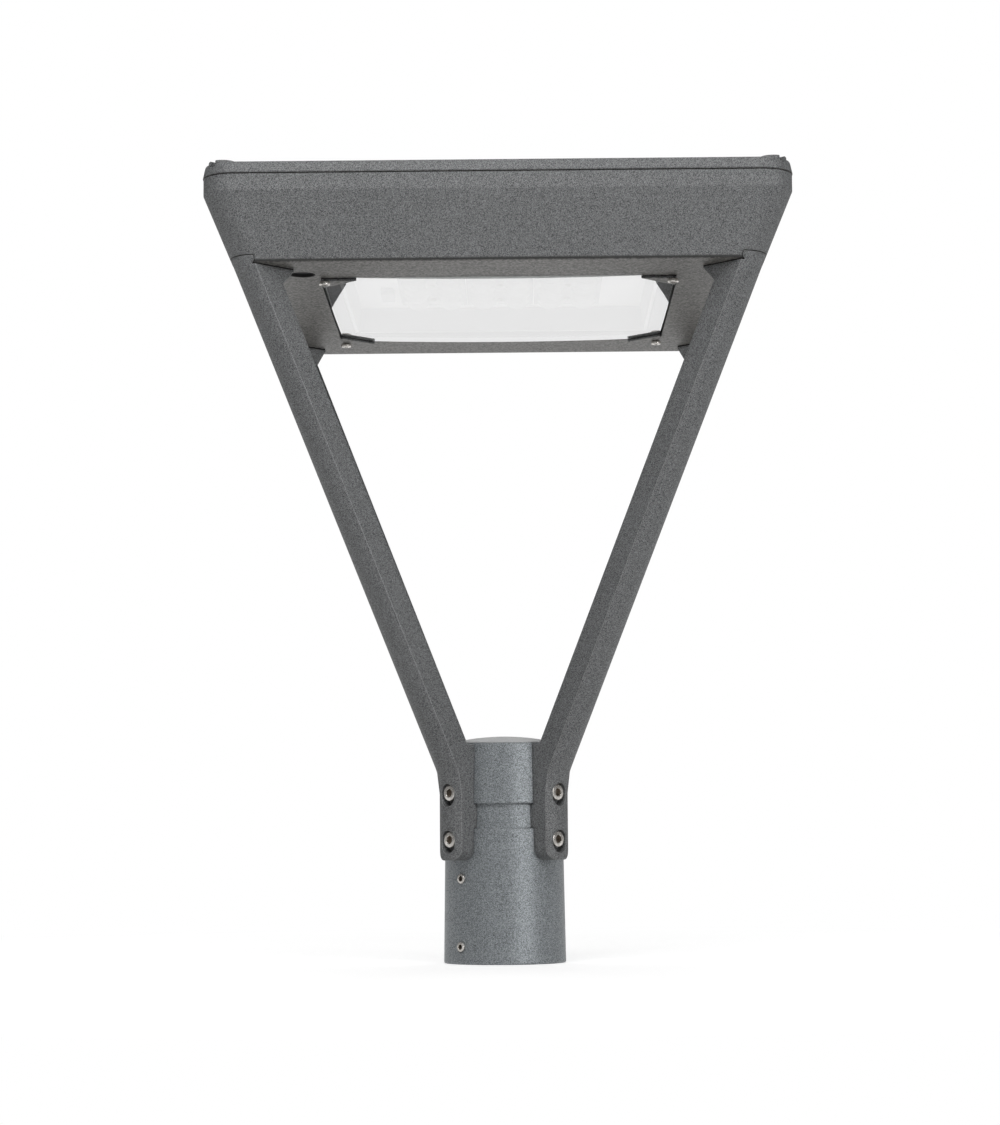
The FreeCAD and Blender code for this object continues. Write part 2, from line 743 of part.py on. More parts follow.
# Leg: a bent bar with a rounded outer face, a keyed saddle foot and a flared, lipped top
def make_leg(corner):
    body = new_body(f"leg_{corner}", CORNERS[corner])
    half = size.leg_width / 2
    reach = size.leg_foot_reach
    section = (
        (reach - size.leg_depth, -half),
        (reach - corner_sag(half), -half),
        (reach - corner_sag(half), half),
        (reach - size.leg_depth, half),
    )
    slant = root(lean * lean + 1)
    tangent = size.leg_bend_radius * (slant - 1) / lean
    route = (
        (reach, foot_bottom),
        (reach, bend_height - tangent),
        (reach + tangent * lean / slant, bend_height + tangent / slant),
        (reach + lean * (lip_top - bend_height), lip_top),
    )
    path = outline(new_sketch(body, "XZ_Plane"), route, {1: (size.leg_bend_radius, -1)}, closed=False)
    profile = outline(new_sketch(body, "XY_Plane", foot_bottom), section, {1: (size.lower_corner_radius, 1)})
    bar = body.newObject("PartDesign::AdditivePipe", "Bar")
    bar.Profile = profile
    bar.Spine = (path, [])
    bar.Mode = "Fixed"
    # Ledge that closes the corner between the bar and the spigot, and the flared top flange
    ledge = (
        (reach - size.leg_depth, foot_bottom),
        (reach - size.leg_depth / 2, foot_bottom),
        (leg_inner_line(ledge_height) + size.leg_depth / 2, ledge_height),
        (reach - size.leg_depth, ledge_height),
    )
    extrude("Pad", outline(new_sketch(body, "XZ_Plane"), ledge), size.leg_width, "Symmetric")
    gusset_foot = leg_top - size.leg_gusset_drop
    flange = (
        (corner_reach - size.leg_flange_length, leg_top),
        (leg_inner_line(gusset_foot), gusset_foot),
        (leg_inner_line(gusset_foot) + size.leg_depth / 2, gusset_foot),
        (corner_reach - size.leg_depth / 2, leg_top),
    )
    extrude("Pad", outline(new_sketch(body, "XZ_Plane"), flange), size.leg_width, "Symmetric")
    # Everything above the flange goes, apart from the lip that fills the housing's corner notch
    lip_inner = corner_reach - size.leg_lip_thickness
    spare = (
        (corner_reach - size.leg_flange_length, leg_top),
        (lip_inner, leg_top),
        (lip_inner, lip_top + size.leg_lip_rise),
        (corner_reach - size.leg_flange_length, lip_top + size.leg_lip_rise),
    )
    extrude("Pocket", outline(new_sketch(body, "XZ_Plane"), spare), size.leg_width * 2, "Symmetric")
    # Saddle turned to the spigot, leaving a key that stands in its groove
    gap = size.leg_saddle_gap
    saddle = (
        (0, foot_bottom - size.leg_foot_round),
        (spigot_radius(foot_bottom - size.leg_foot_round) + gap, foot_bottom - size.leg_foot_round),
        (spigot_radius(groove_bottom) + gap, groove_bottom + gap),
        (spigot_radius(groove_bottom) - size.groove_depth + gap, groove_bottom + gap),
        (spigot_radius(groove_top) - size.groove_depth + gap, groove_top - gap),
        (spigot_radius(groove_top) + gap, groove_top - gap),
        (size.spigot_top_radius + gap, size.spigot_height + gap),
        (0, size.spigot_height + gap),
    )
    turn_about_axis("Groove", outline(new_sketch(body, "XZ_Plane"), saddle))

    def foot_side(edge):
        """True for the foot's two lower side edges."""
        sides = [vertex.Y for vertex in edge.Vertexes]
        along_side = all(abs(side - sides[0]) < TOUCHING for side in sides)
        outermost = abs(abs(sides[0]) - half.value) < TOUCHING
        return along_side and outermost and level_edge(edge, foot_bottom.value)

    round_edges(body, size.leg_foot_round, foot_side)
    # Tall pockets for the screw heads, then the clearance holes
    outside = reach + size.foot_head_height
    pocket_radius = size.foot_head_radius + size.foot_pocket_gap
    for height in foot_screw_heights:
        sketch = new_sketch(body, "YZ_Plane", outside)
        round_ended_chain(sketch, ((0, height), (0, height - size.foot_pocket_drop)), pocket_radius)
        extrude("Pocket", sketch, outside - foot_seat)
    sketch = new_sketch(body, "YZ_Plane", outside)
    for height in foot_screw_heights:
        circle(sketch, 0, height, size.foot_screw_radius + size.fit_gap)
    extrude("Pocket", sketch, outside - size.wire_bore_radius)
    # Tapped holes in the flange
    sketch = new_sketch(body, "XY_Plane", leg_top)
    circles(sketch, top_screw_rows, size.top_screw_radius + size.thread_gap)
    depth = size.top_screw_length - size.leg_boss_height - size.leg_seal_thickness
    extrude("Pocket", sketch, depth + size.thread_gap)


# Seal between a leg's flange and the housing
def make_leg_seal(corner):
    body = new_body(f"leg_seal_{corner}", CORNERS[corner])
    half = size.leg_width / 2 - size.leg_seal_inset
    inner = corner_reach - size.leg_flange_length + size.leg_seal_inset
    outer = corner_reach - size.leg_lip_thickness - size.leg_lip_gap
    shoulder = corner_reach - corner_sag(half) - size.leg_seal_thickness
    narrow = half - size.leg_lip_thickness
    points = (
        (inner, -half),
        (shoulder, -half),
        (outer, -narrow),
        (outer, narrow),
        (shoulder, half),
        (inner, half),
    )
    sketch = outline(new_sketch(body, "XY_Plane", leg_top), points)
    circles(sketch, top_screw_rows, size.top_screw_radius + size.fit_gap)
    extrude("Pad", sketch, size.leg_seal_thickness)


def outward(corner):
    """Rotation that lays an upright screw along a corner's diagonal, head outwards."""
    lay = FreeCAD.Rotation(FreeCAD.Vector(0, 1, 0), QUARTER_TURN)
    return FreeCAD.Rotation(FreeCAD.Vector(0, 0, 1), CORNERS[corner]).multiply(lay)


def make_leg_screws():
    foot_screws = []
    top_screws = []
    for corner in CORNERS:
        for height in foot_screw_heights:
            made = screw("foot")
            made.Placement.Rotation = outward(corner)
            foot_screws.append(put(made, *on_diagonal(corner, foot_seat), height))
        for along, across in top_screw_rows:
            top_screws.append(put(screw("top"), *on_diagonal(corner, along, across), boss_top))
    group("leg_foot_screws", foot_screws)
    group("leg_top_screws", top_screws)


# Grub screws: plain threaded bars with a socket, standing a little proud of the spigot
def make_set_screws():
    made = []
    tip = size.post_radius + size.post_clearance + size.set_screw_tip_gap
    for height in set_screw_heights:
        length = spigot_radius(height) + size.set_screw_proud - tip
        bar = cylinder(size.set_screw_radius, length)
        depth = size.set_screw_socket_depth
        grub = boolean("Cut", bar, hex_bar(size.set_screw_socket, depth, length - depth))
        grub.Placement.Rotation = outward("front_left")
        made.append(put(grub, *on_diagonal("front_left", tip), height))
    group("post_set_screws", made)


def head_half(height, inset):
    """Half width of the sloping head at a height, less an inset."""
    rise = (height - size.underside_height) / size.head_taper_height
    return head_lower_half + size.head_taper_run * rise - inset


# Housing: a tapered square pan with rounded corners, a framed window and screw posts
def make_housing():
    body = new_body("head_housing")
    # The lower edge is taken round by two narrow facets between its tangent points
    edge = size.head_edge_round
    slope = size.head_taper_run / size.head_taper_height
    slant = root(slope * slope + 1)
    tangent = edge * (slant - slope)
    shoulder = edge / (root(slope / slant + 1) * ROOT_TWO)
    lower_edge = (
        (0, -tangent),
        (edge - shoulder * (1 + slope / slant), shoulder / slant - tangent),
        (tangent / slant, tangent * slope / slant),
    )
    skins = [
        (size.underside_height + rise, head_lower_half + out, size.lower_corner_radius + out)
        for rise, out in lower_edge
    ]
    skins += [
        (level, size.head_upper_half, size.upper_corner_radius) for level in (crease_height, rim_height)
    ]
    loft("AdditiveLoft", rounded_squares(body, skins))
    wall = size.head_wall
    hollows = (
        (floor_top, head_half(floor_top, wall), size.cavity_corner_radius),
        (crease_height, size.head_upper_half - wall, size.upper_corner_radius - wall),
        (rim_height, size.head_upper_half - wall, size.upper_corner_radius - wall),
    )
    loft("SubtractiveLoft", rounded_squares(body, hollows))
    under = size.underside_height
    # Frame round the window
    frame = square(new_sketch(body, offset=under), window_half + size.window_frame_wall)
    extrude("Pad", frame, ledge_top - under)
    # Bosses over the legs
    near = corner_reach - size.leg_flange_length + size.leg_boss_margin
    far = corner_reach - size.top_screw_inset / 2
    side = size.leg_width / 2 + size.leg_boss_margin
    extrude("Pad", diagonal_bars(new_sketch(body, offset=under), near, far, side), size.leg_boss_height)
    # Posts for the gear plate and for the lid
    posts = circles(new_sketch(body, offset=under), gear_posts, size.gear_post_radius)
    extrude("Pad", posts, plate_bottom - under)
    posts = circles(new_sketch(body, offset=rim_height), lid_screw_spots, size.lid_post_radius)
    extrude("Pad", posts, size.lid_post_height, backwards=True)
    # Window: glass recess with its corner lands, and the opening behind the ledge
    recess = cut_corner_square(new_sketch(body, offset=under), window_half, size.land_leg)
    extrude("Pocket", recess, ledge_bottom - under, backwards=True)
    opening = square(new_sketch(body, offset=under), ledge_half)
    extrude("Pocket", opening, ledge_top - under, backwards=True)
    # Corner notches for the legs' lips
    near = corner_reach - size.leg_lip_thickness - size.leg_lip_gap
    far = corner_reach + size.lower_corner_radius
    side = size.leg_width / 2 + size.leg_lip_gap
    notches = diagonal_bars(new_sketch(body, offset=under), near, far, side)
    extrude("Pocket", notches, size.leg_lip_rise + size.leg_lip_gap, backwards=True)
    # Hole for the blanking plug
    sketch = new_sketch(body, offset=under)
    circle(sketch, *plug_spot, size.plug_radius + size.fit_gap)
    extrude("Pocket", sketch, size.head_floor, backwards=True)
    # Screw holes for the legs, the clips, the gear plate and the lid
    spots = [on_diagonal(corner, *place) for corner in CORNERS for place in top_screw_rows]
    holes = circles(new_sketch(body, offset=under), spots, size.top_screw_radius + size.fit_gap)
    extrude("Pocket", holes, size.leg_boss_height, backwards=True)
    clip_hole = size.clip_screw_radius + size.thread_gap
    holes = circles(new_sketch(body, offset=under), clip_screw_spots, clip_hole)
    depth = size.clip_screw_length - (size.underside_height - clip_bottom) + size.thread_gap
    extrude("Pocket", holes, depth, backwards=True)
    gear_hole = size.gear_screw_radius + size.thread_gap
    holes = circles(new_sketch(body, offset=plate_bottom), gear_posts, gear_hole)
    extrude("Pocket", holes, size.gear_screw_length)
    lid_hole = size.lid_screw_radius + size.thread_gap
    holes = circles(new_sketch(body, offset=rim_height), lid_screw_spots, lid_hole)
    extrude("Pocket", holes, size.lid_post_height - size.head_wall)


# Blanking plug: a dished disc that closes a spare hole, with its flange on the floor inside
def make_plug():
    body = new_body("blanking_plug")
    under = size.underside_height
    disc = circle(new_sketch(body, offset=under), *plug_spot, size.plug_radius)
    extrude("Pad", disc, size.head_floor + size.plug_flange_thickness)
    flange_radius = size.plug_radius + size.plug_flange_reach
    flange = circle(new_sketch(body, offset=floor_top), *plug_spot, flange_radius)
    extrude("Pad", flange, size.plug_flange_thickness)
    dish = circle(new_sketch(body, offset=under), *plug_spot, size.plug_radius - size.plug_wall)
    extrude("Pocket", dish, size.plug_dish_depth, backwards=True)


# Lid: a shallow drafted pan with a drained screw boss in each corner
def make_lid():
    body = new_body("lid")
    lower = size.head_upper_half + size.lid_overhang
    lower_round = size.upper_corner_radius + size.lid_overhang
    # The drafted wall, then two narrow facets that take the top edge round
    edge = size.lid_edge_round
    shoulder = edge * ROUND_SHOULDER
    steps = (
        (lid_bottom, 0),
        (lid_edge_top - edge, size.lid_draft),
        (lid_edge_top - shoulder, size.lid_draft + shoulder),
        (lid_edge_top, size.lid_draft + edge),
    )
    skins = [(level, lower - inset, lower_round - inset) for level, inset in steps]
    loft("AdditiveLoft", rounded_squares(body, skins))
    hollow = new_sketch(body, offset=lid_bottom)
    wall = size.head_wall + size.lid_overhang
    rounded_square(hollow, lower - wall, lower_round - wall)
    extrude("Pocket", hollow, size.lid_height - size.lid_top, backwards=True)
    posts = circles(new_sketch(body, offset=rim_height), lid_screw_spots, size.lid_post_radius)
    extrude("Pad", posts, lid_edge_top - rim_height)
    boss_foot = lid_edge_top - size.lid_top
    bosses = circles(new_sketch(body, offset=boss_foot), lid_screw_spots, size.lid_boss_radius)
    extrude("Pad", bosses, size.lid_top + size.lid_boss_rise)
    round_edges(body, size.lid_boss_round, lambda edge: level_edge(edge, boss_crown.value))
    # Head pocket, drain slot to the outside and clearance hole of each screw
    pocket = size.lid_head_radius + size.lid_pocket_gap
    pockets = circles(new_sketch(body, offset=boss_crown), lid_screw_spots, pocket)
    extrude("Pocket", pockets, boss_crown - lid_screw_seat)
    drain_end = lid_screw_reach + size.upper_corner_radius
    drain_half = size.drain_width / 2
    drains = diagonal_bars(new_sketch(body, offset=boss_crown), lid_screw_reach, drain_end, drain_half)
    extrude("Pocket", drains, size.drain_depth)
    hole = size.lid_screw_radius + size.fit_gap
    holes = circles(new_sketch(body, offset=boss_crown), lid_screw_spots, hole)
    extrude("Pocket", holes, boss_crown - rim_height)


def make_lid_gasket():
    body = new_body("lid_gasket")
    sketch = new_sketch(body, offset=rim_height)
    for inset in (size.lid_gasket_inset, size.lid_gasket_inset + size.lid_gasket_width):
        rounded_square(sketch, size.head_upper_half - inset, size.upper_corner_radius - inset)
    extrude("Pad", sketch, size.lid_seam)


def make_lid_screws():
    group("lid_screws", [put(screw("lid"), *spot, lid_screw_seat) for spot in lid_screw_spots])


def cut_to_dome(body, rim_level, keep_above):
    """Cut a window piece to the dome that hangs from a circle through the glass's sharp corners."""
    reach = glass_half * ROOT_TWO
    middle_level = rim_level - size.glass_bulge
    spare = size.glass_bulge + size.glass_thickness
    far_level = middle_level - spare if keep_above else rim_level + spare
    profile = ((0, middle_level), (reach, rim_level), (reach, far_level), (0, far_level))
    dome = cap_sphere(reach, size.glass_bulge)
    turn_about_axis("Groove", outline(new_sketch(body, "XZ_Plane"), profile, {0: (dome, 1)}))


# Window: a domed glass pane, its gasket, and the four corner clips with their pads and screws
def make_glass():
    body = new_body("window_glass")
    lowest = glass_bottom - size.glass_bulge - size.glass_thickness
    sketch = cut_corner_square(new_sketch(body, offset=lowest), glass_half, size.glass_corner_cut)
    extrude("Pad", sketch, glass_top - lowest)
    cut_to_dome(body, glass_bottom, keep_above=True)
    cut_to_dome(body, glass_top, keep_above=False)


def make_window_gasket():
    body = new_body("window_gasket")
    lowest = glass_top - size.glass_bulge
    sketch = new_sketch(body, offset=lowest)
    cut_corner_square(sketch, glass_half, size.glass_corner_cut)
    square(sketch, glass_half - size.gasket_width)
    extrude("Pad", sketch, gasket_top - lowest)
    cut_to_dome(body, glass_top, keep_above=True)


def make_clip(corner):
    """Corner clip and the rubber pad of the same outline between it and the glass."""
    outer = window_half - size.clip_gap
    spot = window_half - size.clip_screw_inset
    layers = (
        ("glass_clip", clip_bottom, size.clip_thickness),
        ("clip_pad", pad_bottom, size.clip_pad_thickness),
    )
    for kind, level, thickness in layers:
        body = new_body(f"{kind}_{corner}", CORNERS[corner] - CORNERS["rear_right"])
        sketch = new_sketch(body, offset=level)
        outline(sketch, ((outer, outer), (outer - size.clip_leg, outer), (outer, outer - size.clip_leg)))
        circle(sketch, spot, spot, size.clip_screw_radius + size.fit_gap)
        extrude("Pad", sketch, thickness)


def turned_down(made):
    """Turn a screw so that its head hangs below its seat."""
    made.Placement.Rotation = FreeCAD.Rotation(FreeCAD.Vector(1, 0, 0), HALF_TURN)
    return made


def make_clip_screws():
    made = [put(turned_down(screw("clip")), *spot, clip_bottom) for spot in clip_screw_spots]
    group("glass_clip_screws", made)


# Reflector tray: a white sheet hat whose brim is held between the gasket and the ledge
def make_tray():
    body = new_body("reflector_tray")
    brim = cut_corner_square(new_sketch(body, offset=gasket_top), glass_half, size.glass_corner_cut)
    extrude("Pad", brim, size.tray_sheet)
    outer = ((gasket_top, tray_outer_half), (plate_bottom, tray_top_half))
    loft("AdditiveLoft", [square(new_sketch(body, offset=level), half) for level, half in outer])
    sheet_metal = size.tray_sheet
    inner = ((gasket_top, tray_outer_half - sheet_metal), (tray_ceiling, tray_top_half - sheet_metal))
    loft("SubtractiveLoft", [square(new_sketch(body, offset=level), half) for level, half in inner])
    sketch = new_sketch(body, offset=plate_bottom)
    circles(sketch, module_spots, size.lens_screw_radius + size.fit_gap)
    extrude("Pocket", sketch, sheet_metal)


def light_spots():
    """Plan positions of the light sources, four to a lens module."""
    step = lens_pitch / 2
    return [(x + step * a, y + step * b) for x, y in module_spots for b in (-1, 1) for a in (-1, 1)]


def make_light_board():
    body = new_body("led_board")
    sketch = new_sketch(body, offset=board_bottom)
    length = board_half * 2 + size.board_tail
    rectangle(sketch, (-size.board_tail / 2, dim(0)), length, board_end * 2)
    circles(sketch, module_spots, size.lens_screw_radius + size.fit_gap)
    extrude("Pad", sketch, size.board_thickness)
    width = size.emitter_width
    height = size.emitter_height
    seat = board_bottom - height
    group("led_emitters", [box(width, width, height, *spot, seat) for spot in light_spots()])


# Lens module: four domes on a square base, hollow over the light sources, one screw in the middle
def make_lens_module(name, x, y):
    side = module_pitch - size.lens_module_gap
    solid = box(side, side, size.lens_base, x, y, lens_base_bottom)
    room = size.emitter_height + size.emitter_room
    step = lens_pitch / 2
    sphere_radius = cap_sphere(lens_radius, size.lens_rise)
    for across in (-1, 1):
        for along in (-1, 1):
            spot = (x + step * across, y + step * along)
            dome = doc.addObject("Part::Sphere", "Dome")
            bind(dome, "Radius", sphere_radius)
            dome.Angle1 = -QUARTER_TURN
            sunk = (sphere_radius - size.lens_rise - size.lens_base / 2) / sphere_radius
            dome.setExpression("Angle2", f"-asin({sunk.text})")
            put(dome, *spot, lens_base_bottom + sphere_radius - size.lens_rise)
            solid = boolean("Fuse", solid, dome)
            hollow = cylinder(size.emitter_width, room, *spot, board_bottom - room)
            solid = boolean("Cut", solid, hollow)
    hole = cylinder(size.lens_screw_radius + size.fit_gap, size.lens_base, x, y, lens_base_bottom)
    return keep(name, boolean("Cut", solid, hole))


def make_lenses():
    made = []
    for index, (x, y) in enumerate(module_spots, start=1):
        make_lens_module(f"lens_module_{index}", x, y)
        length = plate_bottom - lens_base_bottom + size.lens_screw_grip
        made.append(put(turned_down(screw("lens", length)), x, y, lens_base_bottom))
    group("lens_screws", made)


# Plug-in connector under the tail of the light board
def make_connector():
    body = new_body("board_connector")
    centre = (-board_half - size.connector_width / 2, size.connector_along)
    sketch = new_sketch(body, offset=board_bottom)
    rectangle(sketch, centre, size.connector_width, size.connector_length)
    extrude("Pad", sketch, size.connector_height, backwards=True)
    round_edges(body, size.board_thickness, upright_edge)


# Gear plate across the head, with the driver, surge protector and terminal block on it
def make_gear_plate():
    body = new_body("gear_plate")
    sketch = new_sketch(body, offset=plate_bottom)
    rectangle(sketch, (dim(0), dim(0)), gear_plate_length, gear_plate_width)
    extrude("Pad", sketch, size.gear_plate_thickness)
    sketch = new_sketch(body, offset=plate_top)
    circles(sketch, gear_posts, size.gear_screw_radius + size.fit_gap)
    circles(sketch, module_spots, size.lens_screw_radius + size.thread_gap)
    extrude("Pocket", sketch, size.gear_plate_thickness)
    group("gear_plate_screws", [put(screw("gear"), *spot, plate_top) for spot in gear_posts])


def make_case(name, family, centre):
    """Potted case with rounded upright and top edges, standing on the gear plate."""
    sizes = vars(size)
    body = new_body(name)
    sketch = new_sketch(body, offset=plate_top)
    rectangle(sketch, centre, sizes[f"{family}_length"], sizes[f"{family}_width"])
    extrude("Pad", sketch, sizes[f"{family}_height"])
    round_edges(body, sizes[f"{family}_round"], lambda edge: not level_edge(edge, plate_top.value))
    return body


def make_gear():
    driver_spot = (dim(0), gear_row)
    driver = make_case("led_driver", "driver", driver_spot)
    feet = new_sketch(driver, offset=plate_top)
    rectangle(feet, driver_spot, size.driver_foot_length, size.driver_width / 2)
    extrude("Pad", feet, size.driver_foot_thickness)
    make_case("surge_protector", "surge", (size.surge_along, -gear_row))
    block = new_body("terminal_block")
    length = size.terminal_pole * TERMINAL_POLES
    centre = (-size.terminal_along, -gear_row)
    sketch = rectangle(new_sketch(block, offset=plate_top), centre, length, size.terminal_width)
    extrude("Pad", sketch, size.terminal_height)
    # Wire entries right through the block, one to each pole
    sketch = new_sketch(block, "XZ_Plane", gear_row + size.terminal_width / 2)
    middle = (TERMINAL_POLES - 1) / 2
    poles = [centre[0] + size.terminal_pole * (index - middle) for index in range(TERMINAL_POLES)]
    for x in poles:
        circle(sketch, x, plate_top + size.terminal_height / 2, size.terminal_wire_radius)
    extrude("Pocket", sketch, size.terminal_width)
    sketch = new_sketch(block, offset=plate_top + size.terminal_height)
    for x in poles:
        circle(sketch, x, centre[1], size.terminal_screw_radius)
    extrude("Pocket", sketch, size.terminal_height / 2)


def check_model():
    """Stop if any feature failed, cut nothing or left a bad solid."""
    for item in doc.Objects:
        if "Invalid" in item.State or "Error" in item.State:
            raise RuntimeError(f"{item.Label} failed: {item.State}")
        if item.TypeId in ("PartDesign::Pocket", "PartDesign::Groove", "PartDesign::SubtractiveLoft"):
            if item.Shape.Volume > item.BaseFeature.Shape.Volume - SMALLEST_CUT:
                raise RuntimeError(f"{item.Label} of {item.getParentGeoFeatureGroup().Label} cuts nothing")
    for name, piece in pieces.items():
        if piece.Shape.isNull() or not piece.Shape.isValid():
            raise RuntimeError(f"{name} has no valid shape")


make_spigot()
make_cap()
for corner_name in CORNERS:
    make_leg(corner_name)
    make_leg_seal(corner_name)
    make_clip(corner_name)
make_leg_screws()
make_set_screws()
make_housing()
make_plug()
make_lid()
make_lid_gasket()
make_lid_screws()
make_glass()
make_window_gasket()
make_clip_screws()
make_tray()
make_light_board()
make_lenses()
make_connector()
make_gear_plate()
make_gear()
doc.recompute()
check_model()
os.makedirs("parts", exist_ok=True)
for node, piece in pieces.items():
    piece.Shape.exportStep(f"parts/{node}.step")
    volume = piece.Shape.Volume / CUBIC_MM_IN_CUBIC_CM
    print(f"{node}: {len(piece.Shape.Solids)} solid(s), {volume:.1f} cm3")
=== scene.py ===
# %% [markdown]
# # A post-top street light, dressed for its photograph
#
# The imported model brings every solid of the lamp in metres: the spigot that slips over a
# post, four cast legs, the square head with its lid, and the light engine behind the
# window. The solids could be modelled again here, but they already have their real sizes. So
# this lesson gives them their finishes, swaps the plain screws for detailed ones, and sets up
# the studio and the camera.

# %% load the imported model
import math

import bpy
from mathutils import Matrix, Vector


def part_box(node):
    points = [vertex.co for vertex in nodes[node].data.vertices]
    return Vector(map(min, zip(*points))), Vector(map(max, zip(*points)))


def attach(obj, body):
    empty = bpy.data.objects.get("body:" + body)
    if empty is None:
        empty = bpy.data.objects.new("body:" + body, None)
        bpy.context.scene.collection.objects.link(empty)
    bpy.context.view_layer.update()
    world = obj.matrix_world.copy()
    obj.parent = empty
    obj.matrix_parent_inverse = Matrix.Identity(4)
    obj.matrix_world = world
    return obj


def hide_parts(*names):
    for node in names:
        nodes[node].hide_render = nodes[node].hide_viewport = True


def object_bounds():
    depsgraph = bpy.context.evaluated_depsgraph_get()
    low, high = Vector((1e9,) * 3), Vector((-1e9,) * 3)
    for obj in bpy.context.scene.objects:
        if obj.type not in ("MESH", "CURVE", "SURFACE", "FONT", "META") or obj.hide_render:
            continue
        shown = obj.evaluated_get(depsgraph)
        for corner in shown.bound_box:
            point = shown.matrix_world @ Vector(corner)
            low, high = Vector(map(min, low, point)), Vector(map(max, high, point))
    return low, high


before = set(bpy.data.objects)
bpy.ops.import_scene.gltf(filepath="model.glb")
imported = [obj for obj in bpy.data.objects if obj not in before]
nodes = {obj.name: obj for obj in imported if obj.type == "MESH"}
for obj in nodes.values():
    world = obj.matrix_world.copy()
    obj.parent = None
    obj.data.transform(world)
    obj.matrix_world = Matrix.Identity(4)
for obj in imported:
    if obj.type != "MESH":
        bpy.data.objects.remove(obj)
cad_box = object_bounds()
print(len(nodes), "nodes in a box from", cad_box[0], "to", cad_box[1])

# %% [markdown]
# ## The camera
#
# The photograph was taken from about 10 cm above the spigot's lower rim and 2.3 m away, with
# a long lens that looks slightly upwards. That is why the rim curves down and the whole
# underside of the head shows. The camera stood a finger's breadth to the right of the middle
# and the picture leans by about half a degree. It could be placed by eye, but the slopes of
# upright and level edges give all of this, so it is placed by numbers.

# %% camera
PHOTO_HEIGHT_PX = 1125
FOCAL_LENGTH_PX = 2780
SENSOR_MM = 36
CAMERA_PLACE = Vector((0.0125, -2.333, 0.0998))
CAMERA_PITCH = math.radians(5.74)
CAMERA_TURN = math.radians(0.349)
CAMERA_ROLL = math.radians(-0.454)

camera_data = bpy.data.cameras.new("photo_camera")
camera_data.sensor_fit = "VERTICAL"
camera_data.sensor_height = SENSOR_MM
camera_data.lens = FOCAL_LENGTH_PX / PHOTO_HEIGHT_PX * SENSOR_MM
camera = bpy.data.objects.new("photo_camera", camera_data)
bpy.context.scene.collection.objects.link(camera)
aim = Matrix.Rotation(CAMERA_TURN, 4, "Z") @ Matrix.Rotation(math.pi / 2 + CAMERA_PITCH, 4, "X")
camera.matrix_world = Matrix.Translation(CAMERA_PLACE) @ aim @ Matrix.Rotation(CAMERA_ROLL, 4, "Z")
bpy.context.scene.camera = camera
print("lens of", round(camera_data.lens, 1), "mm")

# %% [markdown]
# ## Arithmetic on nodes
#
# A finish is a small network of nodes. It could be written as a long list of nodes and links,
# but that hides the thought behind it. So one class wraps a node's output, and ordinary
# arithmetic on it adds Math nodes.


# %% wires
class Wire:
    """The output of a node, ready for arithmetic."""

    def __init__(self, finish, socket):
        self.finish = finish
        self.socket = socket

    def calculate(self, operation, first, second):
        return self.finish.node("ShaderNodeMath", {"operation": operation}, {0: first, 1: second})

    def __add__(self, other):
        return self.calculate("ADD", self, other)

    def __radd__(self, other):
        return self.calculate("ADD", other, self)

    def __sub__(self, other):
        return self.calculate("SUBTRACT", self, other)

    def __rsub__(self, other):
        return self.calculate("SUBTRACT", other, self)

    def __mul__(self, other):
        return self.calculate("MULTIPLY", self, other)

    def __rmul__(self, other):
        return self.calculate("MULTIPLY", other, self)


print("wires can be added, subtracted and multiplied")

# %% [markdown]
# ## A finish and its nodes
#
# Every material here, and the world too, is a network that ends in an output node. One method
# adds any node from its type, its settings and the values of its sockets. A few named methods
# cover what comes up again and again, such as noise, specks, bump and blends of two colours.
# The patterns read Object coordinates, so that they stay on their piece from every side.

# %% finishes
# Noise rarely leaves this range, so it is stretched from here
NOISE_RANGE = (0.3, 0.7)
BEVEL_SAMPLES = 4
# The Mix node has sockets for several kinds of data, and these are the ones for colours
MIX_SHARE = 0
MIX_FIRST = 6
MIX_SECOND = 7
MIX_RESULT = 2


